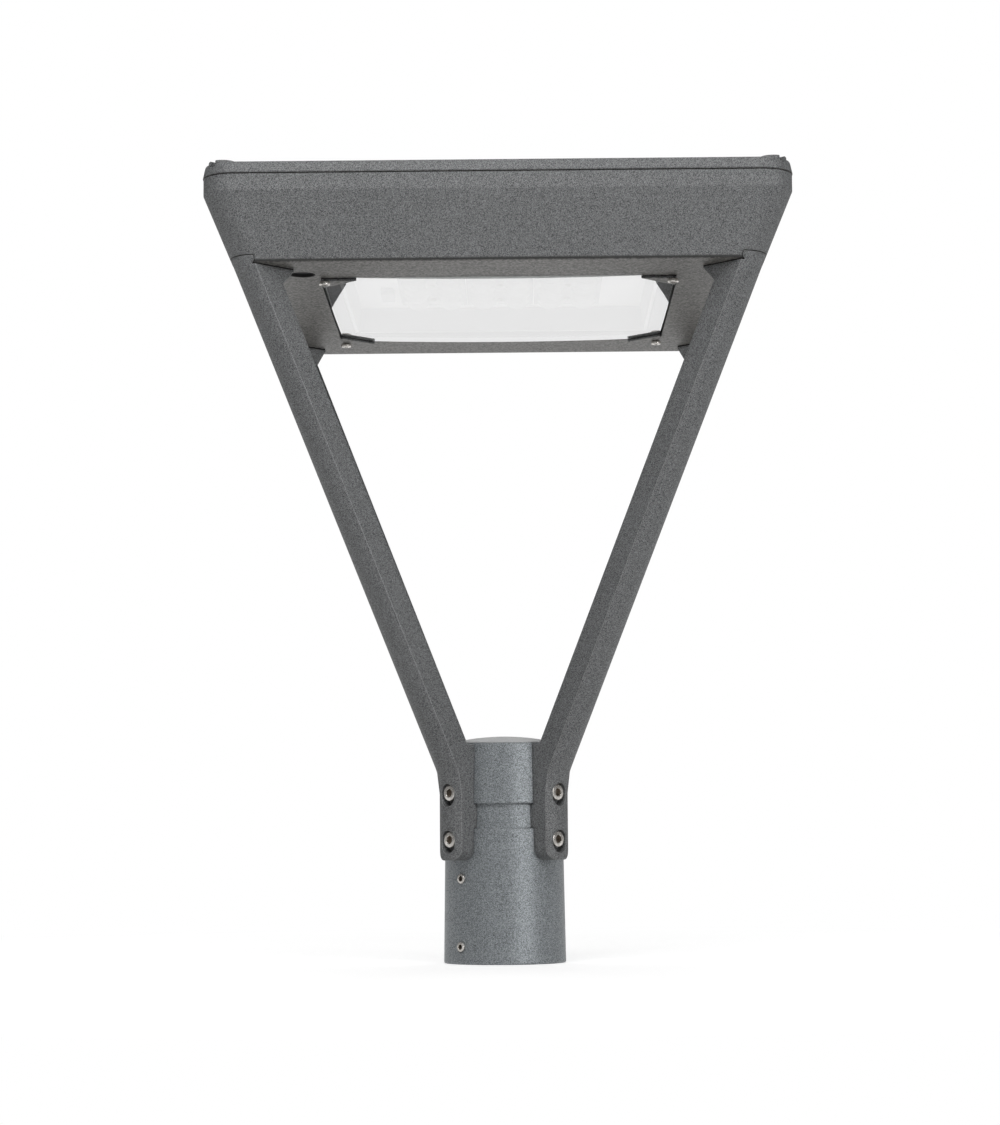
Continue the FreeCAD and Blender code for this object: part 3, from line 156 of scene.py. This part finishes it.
class Finish:
    """A node network: a material, or the world."""

    def __init__(self, name, owner=None):
        self.owner = owner or bpy.data.materials.new(name)
        self.owner.use_nodes = True
        self.tree = self.owner.node_tree
        self.tree.nodes.clear()

    def node(self, kind, settings=None, sockets=None, output=0):
        made = self.tree.nodes.new(kind)
        for key, value in (settings or {}).items():
            setattr(made, key, value)
        for key, value in (sockets or {}).items():
            if isinstance(value, Wire):
                self.tree.links.new(value.socket, made.inputs[key])
            else:
                made.inputs[key].default_value = value
        return Wire(self, made.outputs[output]) if made.outputs else None

    def place(self):
        return self.node("ShaderNodeTexCoord", output="Object")

    def noise(self, scale, detail=2.0, roughness=0.5):
        sockets = {"Vector": self.place(), "Scale": scale, "Detail": detail, "Roughness": roughness}
        return self.node("ShaderNodeTexNoise", sockets=sockets)

    def specks(self, scale):
        """One random shade for each grain."""
        sockets = {"Vector": self.place(), "Scale": scale}
        return self.node("ShaderNodeTexVoronoi", sockets=sockets, output="Color")

    def spread(self, value, low, high, to_low=0.0, to_high=1.0):
        sockets = {"Value": value, "From Min": low, "From Max": high, "To Min": to_low, "To Max": to_high}
        return self.node("ShaderNodeMapRange", {"clamp": True}, sockets)

    def around(self, noise, middle, swing):
        """Let a noise carry a value from below its middle to above it."""
        return self.spread(noise, *NOISE_RANGE, middle - swing, middle + swing)

    def blend(self, share, first, second):
        settings = {"data_type": "RGBA", "blend_type": "MIX"}
        sockets = {MIX_SHARE: share, MIX_FIRST: rgba(first), MIX_SECOND: rgba(second)}
        return self.node("ShaderNodeMix", settings, sockets, output=MIX_RESULT)

    def geometry(self, output):
        return self.node("ShaderNodeNewGeometry", output=output)

    def part(self, vector, axis):
        """One coordinate of a vector."""
        return self.node("ShaderNodeSeparateXYZ", sockets={0: vector}, output=axis)

    def flatness(self):
        """One on level faces, nought on upright ones."""
        rise = self.part(self.geometry("True Normal"), "Z")
        return rise.calculate("ABSOLUTE", rise, 0.0)

    def rounded(self, radius):
        """The normal that rounded edges would have."""
        return self.node("ShaderNodeBevel", {"samples": BEVEL_SAMPLES}, {"Radius": radius})

    def bump(self, height, strength, distance, rounding=0.0):
        sockets = {"Height": height, "Strength": strength, "Distance": distance}
        if rounding:
            sockets["Normal"] = self.rounded(rounding)
        return self.node("ShaderNodeBump", sockets=sockets)

    def mix(self, share, first, second):
        """Mix two shaders."""
        return self.node("ShaderNodeMixShader", sockets={0: share, 1: first, 2: second})

    def surface(self, shader):
        is_world = isinstance(self.owner, bpy.types.World)
        kind = "ShaderNodeOutputWorld" if is_world else "ShaderNodeOutputMaterial"
        self.node(kind, sockets={"Surface": shader})
        return self.owner

    def principled(self, **sockets):
        named = {key.replace("_", " "): value for key, value in sockets.items()}
        return self.surface(self.node("ShaderNodeBsdfPrincipled", sockets=named))


print("finishes stretch noise from", NOISE_RANGE)

# %% [markdown]
# ## Three small helpers
#
# Colours are written with three numbers, while a socket wants a fourth. Some shaders have to
# know what kind of ray has met them, as when the camera sees white paper that gives little
# light. And a finish has to reach many nodes, which could be done one by one. Each of these
# is a short function, so that the steps below stay plain.


# %% helpers
def rgba(colour):
    """Give a three-part colour its alpha; a wire passes as it is."""
    return colour if isinstance(colour, Wire) else (*colour, 1.0)


def ray(finish, *names):
    """One for rays of the named kinds, else nought."""
    kinds = [finish.node("ShaderNodeLightPath", output=name) for name in names]
    total = sum(kinds[1:], kinds[0])
    return total.calculate("MINIMUM", total, 1.0)


def dress(material, *names):
    """Give CAD nodes a finish."""
    for name in names:
        mesh = nodes[name].data
        mesh.materials.clear()
        mesh.materials.append(material)


print("ready to dress", len(nodes), "nodes")

# %% [markdown]
# ## Powder coat
#
# The castings wear a dark grey powder coat of grains under half a millimetre wide, some
# lighter and some darker, each standing a little proud. A painted picture could show them,
# but it would stretch and leave seams. Here a Voronoi pattern gives each grain one random
# shade, noise of the same size gives the height, and a very broad noise keeps large faces
# from looking printed. The bevel in the normal rounds the casting's edges.
#
# The level underside of the head is smoother, with larger grains, and a mask that follows the
# way a face points picks it out; its warmer, darker colour is painted shade and painted
# reflection. The head's lower edge ends in a dark line of painted shade, and the legs' edges
# carry a pale painted highlight, which is where a rounded normal leaves the face's own.

# %% powder coat
SPECK_RANGE = (0.2, 0.8)
GRAIN_PER_METRE = 2200
GRAIN_STRENGTH = 0.35
GRAIN_HEIGHT = 0.0004
COAT_SWING = 0.06
DRIFT_PER_METRE = 7.0
DRIFT_SHARE = 0.06
CASTING_EDGE = 0.0025
# A dark line of painted shade along the head's lower edge: its width and its colour
SHADE_LINE_WIDTH = 0.0026
SHADE_LINE_COLOUR = (0.035, 0.035, 0.034)
# A pale painted highlight along the legs' edges
HIGHLIGHT_EDGE = 0.001
HIGHLIGHT_RANGE = (0.98, 0.75)
PAINTED_HIGHLIGHT_COLOUR = (0.46, 0.465, 0.47)
FACING_DOWN = (-0.9, -0.99)
UNDERSIDE_GRAIN_PER_METRE = 640
# Downward faces: a warmer, darker colour as painted shade and painted reflection
UNDERSIDE_SHADE_DARK = (0.040, 0.038, 0.035)
UNDERSIDE_SHADE_LIGHT = (0.22, 0.212, 0.198)
UNDERSIDE_SMOOTHER = 0.08


def make_powder_coat(name, dark, light, rough=0.54, metallic=0.0, shade_line_height=None, edge_highlight=False):
    """Powder coat; optionally painted shade along a lower edge and a painted highlight on edges."""
    coat = Finish(name)
    grain = coat.noise(GRAIN_PER_METRE, detail=3.0, roughness=0.6)
    drift = coat.spread(coat.noise(DRIFT_PER_METRE), *NOISE_RANGE)
    fine = coat.spread(coat.specks(GRAIN_PER_METRE), *SPECK_RANGE)
    colour = coat.blend(fine * (1 - DRIFT_SHARE) + drift * DRIFT_SHARE, dark, light)
    normal = coat.geometry("True Normal")
    # Painted shade: a dark line along the lower edge, masked by height
    if shade_line_height is not None:
        height = coat.part(coat.place(), "Z")
        line = coat.spread(height, shade_line_height + SHADE_LINE_WIDTH, shade_line_height + SHADE_LINE_WIDTH / 2)
        colour = coat.blend(line, colour, SHADE_LINE_COLOUR)
    # Painted highlight: where the rounded normal leaves the face's own, the edge is coloured pale
    if edge_highlight:
        normals = {0: coat.rounded(HIGHLIGHT_EDGE), 1: normal}
        likeness = coat.node("ShaderNodeVectorMath", {"operation": "DOT_PRODUCT"}, normals, "Value")
        colour = coat.blend(coat.spread(likeness, *HIGHLIGHT_RANGE), colour, PAINTED_HIGHLIGHT_COLOUR)
    # Faces that point down take the warmer, darker colour of painted shade and painted reflection
    below = coat.spread(coat.part(normal, "Z"), *FACING_DOWN)
    coarse = coat.spread(coat.specks(UNDERSIDE_GRAIN_PER_METRE), *SPECK_RANGE)
    underside_shade_colour = coat.blend(coarse, UNDERSIDE_SHADE_DARK, UNDERSIDE_SHADE_LIGHT)
    return coat.principled(
        Base_Color=coat.blend(below, colour, underside_shade_colour),
        Roughness=coat.around(grain, rough, COAT_SWING) - UNDERSIDE_SMOOTHER * below,
        Metallic=metallic,
        Normal=coat.bump(grain, GRAIN_STRENGTH, GRAIN_HEIGHT, CASTING_EDGE),
    )


print("grains of", round(1000 / GRAIN_PER_METRE, 2), "mm")

# %% [markdown]
# ## Coats for the castings
#
# The lid, the clips, the housing and the legs share one grey. The spigot is a casting of its
# own with a bluer, satin coat, and the dome on top of it is coloured pale as painted light,
# from the light above falling on it.
# One coat for everything would be shorter, but these differences show at once. So the same
# recipe is used five times, with other shades or edges.

# %% coats on the castings
COAT_DARK = (0.036, 0.0375, 0.0385)
COAT_LIGHT = (0.258, 0.264, 0.268)
SPIGOT_DARK = (0.1, 0.109, 0.115)
SPIGOT_LIGHT = (0.42, 0.45, 0.47)
# The cap's pale shades are painted light, from the light above falling on the dome
CAP_PAINTED_LIGHT_DARK = (0.54, 0.542, 0.545)
CAP_PAINTED_LIGHT_PALE = (0.66, 0.663, 0.666)
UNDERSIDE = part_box("head_housing")[0][2]
CORNERS = ("front_left", "front_right", "rear_right", "rear_left")

powder_coat = make_powder_coat("powder_coat", COAT_DARK, COAT_LIGHT)
# The housing carries the dark line of painted shade along its lower edge
head_coat = make_powder_coat("head_coat", COAT_DARK, COAT_LIGHT, shade_line_height=UNDERSIDE)
spigot_coat = make_powder_coat("spigot_coat", SPIGOT_DARK, SPIGOT_LIGHT, rough=0.38, metallic=0.5)
cap_painted_light_coat = make_powder_coat("cap_painted_light_coat", CAP_PAINTED_LIGHT_DARK, CAP_PAINTED_LIGHT_PALE, rough=0.62)
# The legs carry the pale painted highlight along their edges
leg_coat = make_powder_coat("leg_coat", COAT_DARK, COAT_LIGHT, edge_highlight=True)
dress(powder_coat, "lid", *[f"glass_clip_{corner}" for corner in CORNERS])
dress(leg_coat, *[f"leg_{corner}" for corner in CORNERS])
dress(head_coat, "head_housing")
dress(spigot_coat, "post_spigot")
dress(cap_painted_light_coat, "spigot_cap")
print("castings coated, with the underside at a height of", round(UNDERSIDE, 4), "m")

# %% [markdown]
# ## Stainless steel
#
# The screws are stainless steel with a few warm stains. Inside their sockets the steel is
# coloured darker and browner, as painted shade in the hollow. A plain mirror would look like
# chrome. So one noise varies the gloss and the surface, and a larger one moves the colour
# between clean and stained.

# %% stainless steel
SHEEN_PER_METRE = 1400
SHEEN_STRENGTH = 0.12
SHEEN_HEIGHT = 0.0002
STEEL_ROUGHNESS = 0.2
STEEL_SWING = 0.08
STAIN_PER_METRE = 300
STAIN_RANGE = (0.35, 0.65)


def make_steel(name, dark, light, metallic):
    steel = Finish(name)
    sheen = steel.noise(SHEEN_PER_METRE)
    stain = steel.spread(steel.noise(STAIN_PER_METRE, detail=3.0), *STAIN_RANGE)
    return steel.principled(
        Base_Color=steel.blend(stain, dark, light),
        Roughness=steel.around(sheen, STEEL_ROUGHNESS, STEEL_SWING),
        Metallic=metallic,
        Normal=steel.bump(sheen, SHEEN_STRENGTH, SHEEN_HEIGHT),
    )


stainless = make_steel("stainless_steel", (0.5, 0.475, 0.44), (0.86, 0.83, 0.79), 0.8)
# Darker, browner steel for inside the sockets, as painted shade in the hollow
socket_shade_steel = make_steel("socket_shade_steel", (0.17, 0.145, 0.12), (0.42, 0.365, 0.31), 0.6)
SCREWS = ["leg_foot_screws", "leg_top_screws", "post_set_screws", "lid_screws"]
SCREWS += ["glass_clip_screws", "lens_screws", "gear_plate_screws"]
dress(stainless, *SCREWS)
print("steel on", len(SCREWS), "kinds of screw")

# %% [markdown]
# ## Rubber and silicone
#
# The seals and the pads under the clips are matt black rubber, and the gasket behind the glass
# is grey silicone. One flat colour would do from afar, but a fine mottle in the colour, the
# gloss and the surface keeps them from looking like holes up close.

# %% rubber and silicone
SOFT_MOTTLE_PER_METRE = 700
SOFT_STRENGTH = 0.2
SOFT_HEIGHT = 0.0003
SOFT_SWING = 0.06


def make_soft(name, dark, light, rough):
    soft = Finish(name)
    mottle = soft.noise(SOFT_MOTTLE_PER_METRE, detail=3.0)
    return soft.principled(
        Base_Color=soft.blend(mottle, dark, light),
        Roughness=soft.around(mottle, rough, SOFT_SWING),
        Normal=soft.bump(mottle, SOFT_STRENGTH, SOFT_HEIGHT),
    )


rubber = make_soft("black_rubber", (0.008, 0.008, 0.008), (0.022, 0.022, 0.022), 0.75)
silicone = make_soft("grey_silicone", (0.2, 0.2, 0.205), (0.28, 0.28, 0.285), 0.6)
PADS = [f"{kind}_{corner}" for kind in ("leg_seal", "clip_pad") for corner in CORNERS]
dress(rubber, "lid_gasket", "blanking_plug", *PADS)
dress(silicone, "window_gasket")
print("rubber on", len(PADS), "seals and pads, and on the lid gasket and the plug")

# %% [markdown]
# ## Window glass and lenses
#
# The window is slightly domed clear glass. Seen at a grazing angle it mirrors the white
# studio, and its ground edges are pale. A refracting glass shader would need many bounces and
# darken the tray behind it. So the pane is a mixture of see-through and mirror that follows
# the angle, and the mirror steps aside for shadows and soft light, which then reach the tray.
# The lenses over the board use the same recipe with some milk in it.

# %% window glass and lenses
WHITE = (1.0, 1.0, 1.0)
MILKY = (0.9, 0.9, 0.89)
GROUND_EDGE = (0.86, 0.88, 0.87)
RIPPLE_PER_METRE = 60
RIPPLE_STRENGTH = 0.02
RIPPLE_HEIGHT = 0.0005
# Glass has the first Fresnel value when seen straight on, and counts as grazed at the second
FRESNEL_RANGE = (0.04, 0.3)
STRAIGHT_ON = 0.06
UPRIGHT_EDGE = (0.5, 0.1)


def make_clear(name, index, rough, grazing, edge=0.0, milk=0.0):
    """Clear sheet or lens: its mirror share when grazed, edge frosts its sides, milk clouds it."""
    clear = Finish(name)
    clean = clear.node("ShaderNodeBsdfTransparent", sockets={"Color": rgba(WHITE)})
    cloud = clear.node("ShaderNodeBsdfDiffuse", sockets={"Color": rgba(MILKY)})
    ripple = clear.bump(clear.noise(RIPPLE_PER_METRE, detail=1.0), RIPPLE_STRENGTH, RIPPLE_HEIGHT)
    shine = {"Color": rgba(WHITE), "Roughness": rough, "Normal": ripple}
    mirror = clear.node("ShaderNodeBsdfGlossy", sockets=shine)
    fresnel = clear.node("ShaderNodeFresnel", sockets={"IOR": index})
    by_angle = clear.spread(fresnel, *FRESNEL_RANGE, STRAIGHT_ON * grazing, grazing)
    inside = clear.geometry("Backfacing")
    soft_light = ray(clear, "Is Shadow Ray", "Is Diffuse Ray")
    share = by_angle * (1 - inside) * (1 - soft_light)
    pane = clear.mix(share, clear.mix(milk, clean, cloud), mirror)
    ground = clear.spread(clear.flatness(), *UPRIGHT_EDGE, 0.0, edge)
    frosted = clear.node("ShaderNodeBsdfDiffuse", sockets={"Color": rgba(GROUND_EDGE)})
    return clear.surface(clear.mix(ground, pane, frosted))


LENS_MODULES = [f"lens_module_{number}" for number in range(1, 10)]
glass = make_clear("clear_glass", index=1.5, rough=0.01, grazing=0.74, edge=1.0)
lens_plastic = make_clear("clear_lens", index=1.49, rough=0.05, grazing=0.06, milk=0.5)
dress(glass, "window_glass")
dress(lens_plastic, *LENS_MODULES)
print("one pane of glass and", len(LENS_MODULES), "lens modules")

# %% [markdown]
# ## Light engine and gear
#
# Behind the glass lie a white tray, a white board with a small grey connector, and yellow
# light sources; the tray's upright walls are coloured grey as painted shade. Above them sit the
# aluminium gear plate, the driver, the surge protector and the terminal block. Each could have
# a recipe of its own, but all are even, factory-made surfaces, so one recipe with a slight
# mottle serves them all.

# %% light engine and gear
EVEN_MOTTLE_PER_METRE = 900
PHOSPHOR_PER_METRE = 2500
EVEN_STRENGTH = 0.15
EVEN_HEIGHT = 0.0002
EVEN_SWING = 0.05
UPRIGHT_WALL = (0.6, 0.3)
# Grey for the tray's upright walls: painted shade
TRAY_WALL_SHADE = (0.5, 0.5, 0.5)


def make_even(name, dark, light, rough, grain=EVEN_MOTTLE_PER_METRE, walls=None):
    """Even finish with a slight mottle; a wall colour, if given, paints shade on upright faces."""
    even = Finish(name)
    mottle = even.noise(grain, detail=3.0)
    colour = even.blend(mottle, dark, light)
    # Upright faces take the given wall colour as painted shade
    if walls:
        colour = even.blend(even.spread(even.flatness(), *UPRIGHT_WALL), colour, walls)
    return even.principled(
        Base_Color=colour,
        Roughness=even.around(mottle, rough, EVEN_SWING),
        Normal=even.bump(mottle, EVEN_STRENGTH, EVEN_HEIGHT),
    )


# Each plain finish by the piece that wears it, its name, its two shades and its roughness
EVEN_FINISHES = {
    "led_board": ("white_board", (0.86, 0.865, 0.86), (0.9, 0.905, 0.9), 0.45),
    "board_connector": ("grey_connector", (0.5, 0.5, 0.5), (0.6, 0.6, 0.6), 0.5),
    "gear_plate": ("bare_aluminium", (0.55, 0.56, 0.57), (0.66, 0.67, 0.68), 0.4),
    "led_driver": ("driver_case", (0.7, 0.7, 0.7), (0.78, 0.78, 0.78), 0.5),
    "surge_protector": ("surge_case", (0.03, 0.03, 0.033), (0.06, 0.06, 0.065), 0.55),
    "terminal_block": ("terminal_plastic", (0.5, 0.51, 0.5), (0.58, 0.59, 0.58), 0.5),
}
for wearer, recipe in EVEN_FINISHES.items():
    dress(make_even(*recipe), wearer)
tray_shades = ((0.88, 0.88, 0.88), (0.92, 0.92, 0.92))
# The tray's upright walls get the grey of painted shade
dress(make_even("white_reflector", *tray_shades, 0.55, walls=TRAY_WALL_SHADE), "reflector_tray")
yellow_shades = ((0.78, 0.55, 0.1), (0.88, 0.68, 0.2))
dress(make_even("yellow_phosphor", *yellow_shades, 0.5, PHOSPHOR_PER_METRE), "led_emitters")
print("tray, light sources and", len(EVEN_FINISHES), "more pieces dressed")

# %% [markdown]
# ## Where the screws are
#
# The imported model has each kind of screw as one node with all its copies. Their places could
# be typed in, but then they would be wrong after any change of the part. So they are read from
# the node's own points, which are sorted by corner and, for screws that lie flat, by height.


# %% where the screws are
def screw_places(node, axis=None):
    """Head centre and turn, radius and length of each screw in a node; no axis means outwards."""
    low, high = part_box(node)
    middle = (low[2] + high[2]) / 2
    groups = {}
    for vertex in nodes[node].data.vertices:
        spot = vertex.co
        corner = (math.copysign(1, spot.x), math.copysign(1, spot.y))
        groups.setdefault((*corner, axis is None and spot.z > middle), []).append(spot.copy())
    places = []
    for (side_x, side_y, _), spots in sorted(groups.items()):
        turn = Vector(axis or (side_x, side_y, 0)).to_track_quat("Z", "Y")
        local = [turn.inverted() @ spot for spot in spots]
        spans = [(min(part), max(part)) for part in zip(*local)]
        centre = Vector((sum(spans[0]) / 2, sum(spans[1]) / 2, spans[2][1]))
        radius = (spans[0][1] - spans[0][0]) / 2
        length = spans[2][1] - spans[2][0]
        places.append((Matrix.Translation(turn @ centre) @ turn.to_matrix().to_4x4(), radius, length))
    return places


for screw_node in ("leg_foot_screws", "post_set_screws"):
    print(screw_node, "holds", len(screw_places(screw_node)), "screws")

# %% [markdown]
# ## Selecting and cutting
#
# Blender's operators act on whatever is selected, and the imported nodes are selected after
# loading. Meshes could be built point by point instead, but the operators are what a hand at
# the mouse would use. So three short functions select one piece, apply a modifier to it, and
# cut another shape out of it.


# %% selecting and cutting
def select_only(piece):
    bpy.ops.object.select_all(action="DESELECT")
    piece.select_set(True)
    bpy.context.view_layer.objects.active = piece


def apply_modifier(piece, kind, **settings):
    select_only(piece)
    modifier = piece.modifiers.new(kind.title(), kind)
    for key, value in settings.items():
        setattr(modifier, key, value)
    bpy.ops.object.modifier_apply(modifier=modifier.name)


def cut_away(piece, cutter):
    apply_modifier(piece, "BOOLEAN", object=cutter, operation="DIFFERENCE", solver="EXACT")
    bpy.data.objects.remove(cutter)


print("selected at the start:", len(bpy.context.selected_objects), "objects")

# %% [markdown]
# ## One screw by hand
#
# The solids have plain socket screws: sharp cylinders with a hexagon pocket. Real ones have a
# rounded rim, a countersunk mouth and a socket in shade, and that is what catches the eye at
# the feet and at the window's corners; here the socket's shade is painted as darker steel. A
# bump could hint at them, but the edge against the light would stay sharp. So a cylinder is
# bevelled, its underside is inset and drawn out into the shank, and two cutters sink the
# socket and its mouth.

# %% one screw by hand
SCREW_SIDES = 40
RIM_STEPS = 4
POINTS_DOWN = -0.99
MOUTH_SHARE = 0.12
SOCKET_FLOOR = 1.01
SMOOTH_UP_TO = math.radians(35)


def draw_out_shank(piece, inset, length):
    """Inset the face under the head and extrude it downwards."""
    bpy.ops.object.mode_set(mode="EDIT")
    bpy.ops.mesh.select_mode(type="FACE")
    bpy.ops.mesh.select_all(action="DESELECT")
    bpy.ops.object.mode_set(mode="OBJECT")
    for face in piece.data.polygons:
        face.select = face.normal.z < POINTS_DOWN
    bpy.ops.object.mode_set(mode="EDIT")
    bpy.ops.mesh.inset(thickness=inset)
    bpy.ops.mesh.extrude_region_move(TRANSFORM_OT_translate={"value": (0, 0, -length)})
    bpy.ops.object.mode_set(mode="OBJECT")


def sink_socket(piece, width, depth):
    """Cut a hexagon socket with a countersunk mouth, and give its inside darker steel as painted shade.
    """
    corner = width / math.sqrt(3)
    mouth = corner * MOUTH_SHARE
    bpy.ops.mesh.primitive_cylinder_add(vertices=6, radius=corner, depth=depth * 2, location=(0, 0, 0))
    cut_away(piece, bpy.context.object)
    bpy.ops.mesh.primitive_cone_add(
        vertices=SCREW_SIDES,
        radius1=corner - mouth,
        radius2=corner + mouth,
        depth=mouth * 2,
        location=(0, 0, 0),
    )
    cut_away(piece, bpy.context.object)
    piece.data.materials.append(stainless)
    piece.data.materials.append(socket_shade_steel)
    # Faces inside the socket take the darker steel: painted shade
    for face in piece.data.polygons:
        sunk = face.center.z < -mouth / 2 and face.center.z > -depth * SOCKET_FLOOR
        face.material_index = int(sunk and face.center.xy.length < corner)


def model_screw(radius, length, head_height, rim, shank, socket_width, socket_depth):
    """One socket screw, its head's face at the origin and pointing up."""
    bpy.ops.object.select_all(action="DESELECT")
    bpy.ops.mesh.primitive_cylinder_add(
        vertices=SCREW_SIDES,
        radius=radius,
        depth=head_height,
        location=(0, 0, -head_height / 2),
    )
    piece = bpy.context.object
    bpy.ops.object.transform_apply(location=True)
    apply_modifier(piece, "BEVEL", width=rim, segments=RIM_STEPS, limit_method="ANGLE")
    if length > head_height:
        draw_out_shank(piece, radius - rim - shank, length - head_height)
    sink_socket(piece, socket_width, socket_depth)
    select_only(piece)
    bpy.ops.object.shade_smooth_by_angle(angle=SMOOTH_UP_TO)
    return piece


print("screws are turned with", SCREW_SIDES, "sides")

# %% [markdown]
# ## A copy at every place
#
# Four kinds of screw can be seen from outside: at the feet, at the window's clips, on the lid,
# and the grub screws that clamp the post. Each kind is modelled once and copied, each copy
# with its own mesh. The copies could stay separate, but they stand in for one node of the
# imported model, so they are joined and take that node's place.


# %% screws in place
def place_screws(node, axis=None, **sizes):
    """Model one screw, put a copy at each place of a node and join them."""
    places = screw_places(node, axis)
    _, radius, length = places[0]
    template = model_screw(radius, length, **sizes)
    copies = []
    for matrix, _, _ in places:
        piece = template.copy()
        piece.data = template.data.copy()
        piece.data.transform(matrix)
        bpy.context.scene.collection.objects.link(piece)
        copies.append(piece)
    bpy.data.objects.remove(template)
    select_only(copies[0])
    for piece in copies[1:]:
        piece.select_set(True)
    bpy.ops.object.join()
    copies[0].name = f"detailed_{node}"
    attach(copies[0], "root")
    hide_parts(node)
    print(node, "replaced by", len(places), "screws of", len(copies[0].data.polygons), "faces")


DOWN = (0, 0, -1)
UP = (0, 0, 1)
GRUB_LENGTH = screw_places("post_set_screws")[0][2]
place_screws(
    "leg_foot_screws",
    head_height=0.008,
    rim=0.0008,
    shank=0.004,
    socket_width=0.006,
    socket_depth=0.004,
)
place_screws(
    "glass_clip_screws",
    DOWN,
    head_height=0.0032,
    rim=0.0009,
    shank=0.002,
    socket_width=0.003,
    socket_depth=0.002,
)
place_screws(
    "lid_screws",
    UP,
    head_height=0.004,
    rim=0.0006,
    shank=0.0025,
    socket_width=0.004,
    socket_depth=0.0025,
)
place_screws(
    "post_set_screws",
    head_height=GRUB_LENGTH,
    rim=0.0006,
    shank=0.004,
    socket_width=0.004,
    socket_depth=0.005,
)

# %% [markdown]
# ## The world
#
# The studio is white behind the lamp and dimmer on the camera's side, as a white sweep in a
# darker room is. A picture of a studio could surround the scene, but a plain sky is easier to
# steer. The camera always sees white, mirrors see the sweep where it is and the dim room
# elsewhere, and the light that the sky casts stays at a plain level.

# %% world
AMBIENT = 0.15
DIM_ROOM = 0.15
SWEEP = 0.3
SKY_RISE = (-0.2, 0.5)


def towards_back(finish, place, near, far, white=1.0):
    """Rise from the dim camera side of the room to the white sweep behind the lamp."""
    return finish.spread(finish.part(place, "Y"), near, far, DIM_ROOM, white)


world = bpy.data.worlds.new("studio")
bpy.context.scene.world = world
sky = Finish("studio", world)
camera_ray = ray(sky, "Is Camera Ray")
mirror_ray = ray(sky, "Is Glossy Ray", "Is Transmission Ray")
direction = sky.node("ShaderNodeTexCoord", output="Generated")
mirrored = mirror_ray * towards_back(sky, direction, *SKY_RISE, SWEEP) + (1 - mirror_ray) * AMBIENT
strength = camera_ray + (1 - camera_ray) * mirrored
sky.surface(sky.node("ShaderNodeBackground", sockets={"Color": rgba((1, 1, 1)), "Strength": strength}))
print("sky casts", AMBIENT, "and shows the camera white")

# %% [markdown]
# ## The floor
#
# The lamp stands on white paper that fades into the background. A large curved backdrop would
# do the same, but a flat sheet that turns plain white with distance needs no fitting to the
# camera. Close to the spigot the paper keeps the lamp's shadow, with a glow that only the
# camera sees. From below the sheet is clear, so that the underside can be looked at too.

# %% floor
FLOOR_SIZE = 12.0
FLOOR_COLOUR = (0.78, 0.78, 0.78)
FLOOR_GLOW = 0.53
FLOOR_FADE = (0.1, 0.9)
FLOOR_RISE = (-0.4, 0.4)

bpy.ops.object.select_all(action="DESELECT")
bpy.ops.mesh.primitive_plane_add(size=FLOOR_SIZE, location=(0, 0, cad_box[0][2]))
floor = bpy.context.object
floor.name = "studio_floor"
paper = Finish("studio_paper")
camera_ray = ray(paper, "Is Camera Ray")
mirror_ray = ray(paper, "Is Glossy Ray", "Is Transmission Ray")
matt = paper.node("ShaderNodeBsdfDiffuse", sockets={"Color": rgba(FLOOR_COLOUR)})
glow = paper.node("ShaderNodeEmission", sockets={"Strength": camera_ray * FLOOR_GLOW})
lit = paper.node("ShaderNodeAddShader", sockets={0: matt, 1: glow})
white = paper.node("ShaderNodeEmission", sockets={"Strength": 1.0})
spot = paper.geometry("Position")
reach = paper.node("ShaderNodeVectorMath", {"operation": "LENGTH"}, {0: spot}, "Value")
seen_white = camera_ray * paper.spread(reach, *FLOOR_FADE)
mirrored_white = mirror_ray * towards_back(paper, spot, *FLOOR_RISE)
sheet = paper.mix(seen_white + mirrored_white, lit, white)
clear_view = paper.node("ShaderNodeBsdfTransparent", sockets={"Color": rgba(WHITE)})
one_sided = paper.mix(paper.geometry("Backfacing"), sheet, clear_view)
floor.data.materials.append(paper.surface(one_sided))
print("floor of", FLOOR_SIZE, "m at a height of", round(floor.location.z, 4))

# %% [markdown]
# ## The lamps
#
# Large soft lamps give the castings their shading: a strong one in front and above, a strong
# one at the right, weak ones at the left, one overhead and one behind. One large lamp would
# be simpler, but the photograph has a lighter right side and a bright lid edge. Each lamp is
# placed by two angles and a distance, and looks at a point near the object's middle.

# %% lamps
LAMP_TARGET = Vector((0, 0, 0.35))
# Each lamp by its bearing from the front and its height, in degrees, its distance and width
# in metres, and its power in watts
LAMPS = {
    "front_lamp": (0, 45, 3.0, 1.6, 24),
    "right_lamp": (38, 10, 3.0, 1.6, 25),
    "left_lamp": (-20, 35, 1.4, 0.8, 3.8),
    "low_lamp": (-28, 8, 3.0, 1.6, 2.5),
    "top_lamp": (0, 90, 3.0, 1.6, 8),
    "rear_lamp": (180, 58, 3.0, 1.6, 28),
}


def add_lamp(name, bearing, height_angle, distance, width, watts):
    lamp_data = bpy.data.lights.new(name, "AREA")
    lamp_data.shape = "DISK"
    lamp_data.size = width
    lamp_data.energy = watts
    lamp = bpy.data.objects.new(name, lamp_data)
    bpy.context.scene.collection.objects.link(lamp)
    swing = math.radians(bearing)
    rise = math.radians(height_angle)
    level = math.cos(rise)
    outward = Vector((math.sin(swing) * level, -math.cos(swing) * level, math.sin(rise)))
    lamp.location = LAMP_TARGET + outward * distance
    lamp.rotation_euler = outward.to_track_quat("Z", "Y").to_euler()


for lamp_name, setting in LAMPS.items():
    add_lamp(lamp_name, *setting)
bpy.context.scene.view_settings.view_transform = "Standard"
print("studio lit by", len(LAMPS), "lamps")
